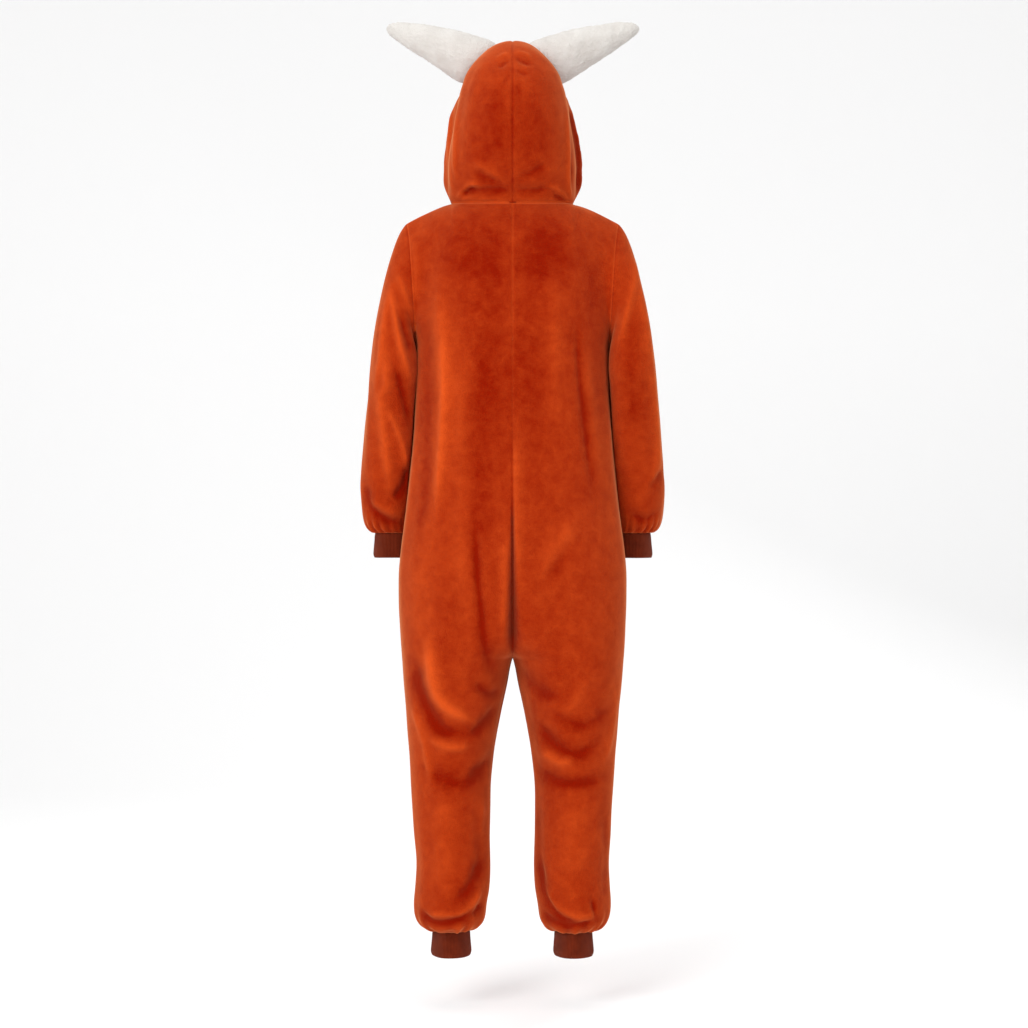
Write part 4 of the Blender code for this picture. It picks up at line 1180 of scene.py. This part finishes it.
def wall(name, outer, inner, ring, tone, seam, material):
    """A closed wall between two grids of points, with a UV map in metres."""
    rows, columns = outer.shape[:2]
    index = np.arange(rows * columns).reshape(rows, columns)
    if ring:
        index = closed(index)
    wide = closed(outer) if ring else outer
    u = summed(steps_of(wide, 1).mean(axis=0))
    v = lengths_along(wide.mean(axis=1))
    uv = np.stack(np.broadcast_arrays(u[None, :], v[:, None]), axis=-1).reshape(-1, 2)
    flat = np.arange(rows * len(u)).reshape(rows, len(u))
    count = rows * columns
    cells, cell_corners = (
        quads(grid[:-1, :-1], grid[:-1, 1:], grid[1:, 1:], grid[1:, :-1]) for grid in (index, flat)
    )
    faces, corners = [cells, cells + count], [cell_corners, cell_corners]
    edges = [(index[0], flat[0]), (index[-1], flat[-1])]
    if not ring:
        edges += [(index[:, 0], flat[:, 0]), (index[:, -1], flat[:, -1])]
    for line, places in edges:
        faces.append(quads(line[:-1], line[1:], line[1:] + count, line[:-1] + count))
        corners.append(quads(places[:-1], places[1:], places[1:], places[:-1]))
    data = bpy.data.meshes.new(name)
    points = np.concatenate([outer.reshape(-1, 3), inner.reshape(-1, 3)])
    data.from_pydata(points, [], np.concatenate(faces).tolist())
    layer = data.uv_layers.new(name="cloth")
    layer.data.foreach_set("uv", uv[np.concatenate(corners).ravel()].ravel())
    # tone holds the painted shade and highlight of folds, crease and gathers; seam the painted light of the
    # seams.
    for key, values in (("tone", tone), ("seam", seam)):
        keep_values(data, key, np.tile(values.ravel(), 2))
    mesh = bmesh.new()
    mesh.from_mesh(data)
    bmesh.ops.recalc_face_normals(mesh, faces=mesh.faces)
    mesh.to_mesh(data)
    mesh.free()
    data.shade_smooth()
    data.set_sharp_from_angle(angle=SHARP_ANGLE)
    data.materials.append(material)
    return placed(name, data)


print("a seam turns in by", SEAM_TURN * 1000, "mm")

# %% Both halves of the suit as grids
# Which way each surface's own normals have to be turned to point out of the suit.
TURNS = {"back": -1, "front": 1, "sleeve": 1, "hood": 1, "wrist_cuff": 1, "ankle_cuff": -1}
RINGS = {"sleeve", "wrist_cuff", "ankle_cuff"}
RIGHT = (back_right, front_right, sleeve_right, hood_right, wrist_right, ankle_right)
SURFACES = dict(zip(TURNS, RIGHT))


def shared_normals(grids, side, keys):
    """Normals of all grids of one half, made the same where two grids share a point."""
    own = {name: grid_normals(grid, name in RINGS, side * TURNS[name]) for name, grid in grids.items()}
    stacked = np.concatenate([normals.reshape(-1, 3) for normals in own.values()])
    total = np.zeros((keys.max() + 1, 3))
    np.add.at(total, keys, stacked)
    total[zero_x[side]] *= (0.0, 1.0, 1.0)
    merged = unit(total)[keys]
    start = 0
    for name, grid in grids.items():
        count = grid.shape[0] * grid.shape[1]
        own[name] = merged[start : start + count].reshape(grid.shape)
        start += count
    return own


zero_x = {}
halves = {}
for side, hand in ((1, "right"), (-1, "left")):
    grids = {name: grid * np.array([side, 1.0, 1.0]) for name, grid in SURFACES.items()}
    stacked = np.round(np.concatenate([grid.reshape(-1, 3) for grid in grids.values()]), 6)
    places, keys = np.unique(stacked, axis=0, return_inverse=True)
    zero_x[side] = places[:, 0] == 0.0
    halves[hand] = {"side": side, "grids": grids, "keys": keys.ravel()}
    print(hand, "half:", len(stacked), "points,", len(stacked) - len(places), "shared")

# %% Folds, waves and gathers on each half
WAVE_HEIGHT, WAVE_LENGTH, WAVE_SEED = 0.0009, 0.16, 3
GATHERS = {
    # piece: pleats in it, depth, how far up they reach, seed
    "sleeve": (20, 0.0022, 0.011, 5),
    "back": (7, 0.0026, 0.013, 8),
    "front": (7, 0.0026, 0.013, 9),
}
for hand, half in halves.items():
    side, grids, keys = half["side"], half["grids"], half["keys"]
    normals = shared_normals(grids, side, keys)
    tones = {}
    for name, grid in grids.items():
        grid += slow_waves(grid, WAVE_SEED, WAVE_HEIGHT, WAVE_LENGTH)[..., None] * normals[name]
    for name, grid in grids.items():
        ring = name in RINGS
        tones[name] = np.zeros(grid.shape[:2])
        away = edge_distance(grid, ring)
        free = (1.0 - np.exp(-((away / FOLD_FREE) ** 2)))[..., None]
        tables = (FOLDS.get(f"{name}_{hand}"), -1, 1), (FRONT_FOLDS.get(name), 1, side)
        for rows, face, mirror in tables:
            if rows is None:
                continue
            moved, tone = folded(grid, normals[name], rows, face, mirror)
            tones[name] += tone
            grids[name] = grid = grid + (moved - grid) * free
        if name == "back":
            grids[name], tone = seat_crease(grid)
            tones[name] += tone
        if name in GATHERS:
            count, depth, fade, seed = GATHERS[name]
            grids[name], tone = gathers(grids[name], normals[name], count, depth, fade, seed + side, ring)
            tones[name] += tone
    half["tones"] = tones
    half["normals"] = shared_normals(grids, side, keys)
    print(hand, "half folded; strongest tone", round(max(float(t.max()) for t in tones.values()), 2))

# %% Cloth walls
CUFF_TURN = 0.6  # a cuff's thinner edge turns in by this share of a plush one
sheets = {}
for hand, half in halves.items():
    for name, grid in half["grids"].items():
        ring, cuff = name in RINGS, name.endswith("cuff")
        normals = half["normals"][name]
        away = edge_distance(grid, ring)
        turn = SEAM_TURN * (CUFF_TURN if cuff else 1.0) * np.clip(1.0 - away / SEAM_REACH, 0.0, 1.0) ** 2
        outer = grid - turn[..., None] * normals
        inner = grid - (CUFF_CLOTH if cuff else CLOTH) * normals
        if name in ("back", "front", "hood"):
            for layer in (outer, inner):
                layer[..., 0] = half["side"] * np.maximum(half["side"] * layer[..., 0], 0.0)
        # Painted light along each seam: a painted highlight where this value is above 0, painted shade
        # below 0.
        seam = np.exp(-((away / SEAM_LINE) ** 2))
        if name == "back":
            seam *= np.where(abs(grid[..., 0]) < SEAM_BESIDE, np.interp(grid[..., 2], *BACK_SEAM), 1.0)
        if name in ("back", "hood"):
            seam *= np.where(abs(grid[..., 2] - grid[:1, :, 2]) < SEAM_BESIDE, NECK_SEAM, 1.0)
        if name == "hood":
            seam *= np.where(abs(grid[..., 0]) < SEAM_BESIDE, HOOD_SEAM, 1.0)
        if name == "sleeve":
            seam *= np.interp(grid[..., 2], *SLEEVE_SEAM)
        material = knit if cuff else rust_plush
        piece = wall(f"soft_{name}_{hand}", outer, inner, ring, half["tones"][name], seam, material)
        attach(piece, "root")
        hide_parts(f"{name}_{hand}")
        sheets[f"{name}_{hand}"] = piece
        print(piece.name, triangles(piece.data), "triangles")

# %% [markdown]
# ### Button strip
#
# The strip covers the edges of both fronts, from the neck to below the belly. It is the fronts' own first
# strips, moved out by a cloth's thickness, so it follows them exactly.

# %% Strip down the front
STRIP_CLOTH, STRIP_LIFT, STRIP_TOP_GAP = 0.0024, 0.0003, 0.0015
STRIP_ROUND, STRIP_ROUND_REACH = 0.0011, 0.004


def strip_grid():
    points, normals = [], []
    for hand, order in (("left", slice(PLACKET_PLACE, 0, -1)), ("right", slice(0, PLACKET_PLACE + 1))):
        points.append(halves[hand]["grids"]["front"][:, order])
        normals.append(halves[hand]["normals"]["front"][:, order])
    points, normals = np.concatenate(points, axis=1), np.concatenate(normals, axis=1)
    keep = points[:, PLACKET_PLACE, 2] > PLACKET_END
    points, normals = points[keep].copy(), normals[keep]
    points[:, PLACKET_PLACE, 0] = 0.0
    points[0] += STRIP_TOP_GAP * unit(points[1] - points[0])
    return points, normals


strip_points, strip_normals = strip_grid()
away = edge_distance(strip_points, False)
rounding = STRIP_ROUND * np.clip(1.0 - away / STRIP_ROUND_REACH, 0.0, 1.0) ** 2
outer = strip_points + (STRIP_LIFT + STRIP_CLOTH - rounding)[..., None] * strip_normals
inner = strip_points + STRIP_LIFT * strip_normals
# A painted highlight along the strip's edges.
seam = np.exp(-((away / SEAM_LINE) ** 2))
strip = wall("soft_placket", outer, inner, False, np.zeros(away.shape), seam, rust_plush)
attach(strip, "root")
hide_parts("placket")
sheets["placket"] = strip
print("strip is", round(float(-outer[-1, 0, 2] + outer[0, 0, 2]), 3), "m long")

# %% [markdown]
# ### Buttons
#
# A four-hole button is a disc with a raised rim. One is modelled by hand: a cylinder, its top face inset
# and pushed down for the rim, four holes cut through, and the edges bevelled. Two stitches of thread hold
# it. Then it is copied to the height of each button of the rigid model, and seated on the strip.

# %% One button
BUTTON_RADIUS, BUTTON_THICK = 0.0095, 0.004
BUTTON_SIDES, HOLE_SIDES = 40, 14
RIM_WIDTH, RIM_DEPTH = 0.0022, 0.0008
BUTTON_SINK, EDGE_BEVEL = 0.0002, 0.0003
HOLE_RADIUS, HOLE_APART = 0.0010, 0.0024
BUTTON_TURN = 0.6  # each button is turned by this much more than the one before


def only(piece):
    bpy.ops.object.select_all(action="DESELECT")
    piece.select_set(True)
    bpy.context.view_layer.objects.active = piece


bpy.ops.object.select_all(action="DESELECT")
bpy.ops.mesh.primitive_cylinder_add(vertices=BUTTON_SIDES, radius=BUTTON_RADIUS, depth=BUTTON_THICK)
button = bpy.context.object
button.name = "button_pattern"
bpy.ops.object.mode_set(mode="EDIT")
bpy.ops.mesh.select_mode(type="FACE")
bpy.ops.mesh.select_all(action="DESELECT")
mesh = bmesh.from_edit_mesh(button.data)
for face in mesh.faces:
    face.select_set(face.normal.z > 0.9)
bmesh.update_edit_mesh(button.data)
bpy.ops.mesh.inset(thickness=RIM_WIDTH)
bpy.ops.transform.translate(value=(0.0, 0.0, -RIM_DEPTH))
bpy.ops.object.mode_set(mode="OBJECT")
for x in (-HOLE_APART / 2, HOLE_APART / 2):
    for y in (-HOLE_APART / 2, HOLE_APART / 2):
        bpy.ops.object.select_all(action="DESELECT")
        bpy.ops.mesh.primitive_cylinder_add(
            vertices=HOLE_SIDES, radius=HOLE_RADIUS, depth=3 * BUTTON_THICK, location=(x, y, 0.0)
        )
        drill = bpy.context.object
        only(button)
        hole = button.modifiers.new("hole", "BOOLEAN")
        hole.operation, hole.solver, hole.object = "DIFFERENCE", "EXACT", drill
        bpy.ops.object.modifier_apply(modifier="hole")
        bpy.data.objects.remove(drill, do_unlink=True)
edge = button.modifiers.new("edge", "BEVEL")
edge.width, edge.segments, edge.limit_method, edge.angle_limit = EDGE_BEVEL, 2, "ANGLE", math.radians(40)
bpy.ops.object.modifier_apply(modifier="edge")
bpy.ops.object.shade_smooth_by_angle(angle=math.radians(35))
button.data.materials.append(button_plastic)
print("button faces:", len(button.data.polygons))

# %% Thread through the holes
THREAD_RADIUS = 0.00045
STITCH_STEPS, STITCH_SINK, STITCH_RISE = 8, 0.0010, 0.0015


def stitch(offset):
    """One stitch that lies across two holes."""
    curve = bpy.data.curves.new("stitch", "CURVE")
    curve.dimensions = "3D"
    curve.bevel_depth, curve.bevel_resolution, curve.use_fill_caps = THREAD_RADIUS, 2, True
    line = curve.splines.new("POLY")
    line.points.add(STITCH_STEPS)
    top = BUTTON_THICK / 2 - RIM_DEPTH
    for step, point in enumerate(line.points):
        turn = math.pi * step / STITCH_STEPS
        height = top - STITCH_SINK + STITCH_RISE * math.sin(turn)
        point.co = (-math.cos(turn) * HOLE_APART / 2, offset, height, 1.0)
    piece = placed("stitch", curve)
    only(piece)
    bpy.ops.object.convert(target="MESH")
    piece.data.materials.clear()
    piece.data.materials.append(thread)
    return piece


stitches = [stitch(offset) for offset in (-HOLE_APART / 2, HOLE_APART / 2)]
only(button)
for piece in stitches:
    piece.select_set(True)
bpy.ops.object.join()
print("button with thread:", len(button.data.polygons), "faces")

# %% A button at each place
middle_line = outer[:, PLACKET_PLACE]
middle_normals = strip_normals[:, PLACKET_PLACE]
for number in range(1, 7):
    low, high = (Vector(corner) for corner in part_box(f"button_{number}"))
    row = int(np.argmin(abs(middle_line[:, 2] - (low.z + high.z) / 2)))
    up = Vector(middle_normals[row]).normalized()
    centre = Vector(middle_line[row]) + (BUTTON_THICK / 2 - BUTTON_SINK) * up
    print("button", number, "is moved by", round((centre - (low + high) / 2).length * 1000, 1), "mm")
    place = Matrix.Translation(centre) @ up.to_track_quat("Z", "Y").to_matrix().to_4x4()
    copy = placed(f"soft_button_{number}", button.data.copy())
    copy.data.transform(place @ Matrix.Rotation(BUTTON_TURN * number, 4, "Z"))
    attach(copy, "root")
    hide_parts(f"button_{number}")
bpy.data.objects.remove(button, do_unlink=True)
print("buttons placed")

# %% [markdown]
# ### Horns
#
# The horns are stuffed plush cones, sewn to the hood. The rigid horn already has the right outline, so a
# copy of it is made smoother by subdivision and seated in the hood's pile. Long waves give it the lumps
# of its stuffing, and short ones the uneven outline of plush.

# %% Stuffed horns
HORN_LEVELS, HORN_PAINTED_SHADE = 3, 0.5
HORN_LUMP, LUMP_LENGTH = 0.0007, 0.045
HORN_FUZZ, FUZZ_LENGTH = 0.0005, 0.008
SEAT_REACH, SEAT_SINK, SEAT_SHIFT = 0.009, 0.0015, 0.005


def seated(points, hood):
    """How far to move the horn's base so that it sinks a little into the hood's pile."""
    tree = BVHTree.FromObject(hood, bpy.context.evaluated_depsgraph_get())
    moves = np.zeros_like(points)
    for index, point in enumerate(points):
        place, _, _, gap = tree.find_nearest(Vector(point), SEAT_REACH)
        if place is not None and gap > 1e-6:
            share = (1.0 - gap / SEAT_REACH) ** 0.5
            moves[index] = (place - Vector(point)) / gap * min(gap + SEAT_SINK, SEAT_SHIFT) * share
    return moves


def horn_cover(hand, seed):
    source = bpy.data.objects[f"horn_{hand}"]
    piece = source.copy()
    piece.data = source.data.copy()
    piece.name = f"soft_horn_{hand}"
    for key in list(piece.keys()):
        del piece[key]
    scene.collection.objects.link(piece)
    only(piece)
    bpy.ops.object.mode_set(mode="EDIT")
    bpy.ops.mesh.select_all(action="SELECT")
    bpy.ops.mesh.remove_doubles(threshold=0.00001)
    bpy.ops.mesh.tris_convert_to_quads(face_threshold=math.radians(50), shape_threshold=math.radians(50))
    bpy.ops.object.mode_set(mode="OBJECT")
    smooth = piece.modifiers.new("smooth", "SUBSURF")
    smooth.levels = smooth.render_levels = HORN_LEVELS
    bpy.ops.object.modifier_apply(modifier="smooth")
    mesh = piece.data
    count = len(mesh.vertices)
    points, normals = np.empty(3 * count), np.empty(3 * count)
    mesh.vertices.foreach_get("co", points)
    mesh.vertices.foreach_get("normal", normals)
    points, normals = points.reshape(-1, 3), normals.reshape(-1, 3)
    points += seated(points, sheets[f"hood_{hand}"])
    lumps = slow_waves(points, seed, HORN_LUMP, LUMP_LENGTH)
    fuzz = slow_waves(points, seed + 1, HORN_FUZZ, FUZZ_LENGTH)
    moved = points + (lumps + fuzz)[:, None] * normals
    mesh.vertices.foreach_set("co", moved.ravel())
    # The lumps are also painted: lighter where they rise, painted shade where they sink.
    keep_values(mesh, "tone", lumps / HORN_LUMP * HORN_PAINTED_SHADE)
    mesh.update()
    mesh.shade_smooth()
    mesh.materials.clear()
    mesh.materials.append(cream_plush)
    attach(piece, "root")
    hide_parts(f"horn_{hand}")
    print(piece.name, triangles(mesh), "triangles")


for hand, seed in (("right", 21), ("left", 34)):
    horn_cover(hand, seed)

# %% [markdown]
# ## What each sheet was cut to
#
# Cloth hardly stretches, so every sheet has a flat size. The sizes below are those of the pattern: the
# width and length of the piece of cloth it is cut from, and the area left after it is cut.

# %% Flat sizes
STRIP_CUT = (0.036, 0.66)
CUTS = {
    # piece: width, length, area, how it is held
    "back": (0.36, 1.37, 0.326, "hung"),
    "front": (0.33, 1.33, 0.308, "hung"),
    "sleeve": (0.50, 0.60, 0.176, "hung"),
    "hood": (0.33, 0.47, 0.100, "draped"),
    "wrist_cuff": (0.235, 0.046, None, "stretched"),
    "ankle_cuff": (0.240, 0.046, None, "stretched"),
}
for name, piece in sheets.items():
    surface = sum(face.area for face in piece.data.polygons) / 2
    if name == "placket":
        print(name, "is cut to", STRIP_CUT, "m and shows", round(surface, 4), "m2")
        continue
    part, hand = name.rsplit("_", 1)
    width, length, area, held = CUTS[part]
    grid = halves[hand]["grids"][part]
    if part in RINGS:
        grid = closed(grid)
    across = steps_of(grid, 1).sum(axis=1).max()
    down = steps_of(grid, 0).sum(axis=0).max()
    print(name, "is cut from", width, "by", length, "and worn is", round(float(across), 3), end=" ")
    print("by", round(float(down), 3), "with a surface of", round(surface, 4), "m2")

# %% Box of the scene at the end
seen_box = [list(corner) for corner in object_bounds()]
print("box now:", [[round(v, 3) for v in corner] for corner in seen_box])
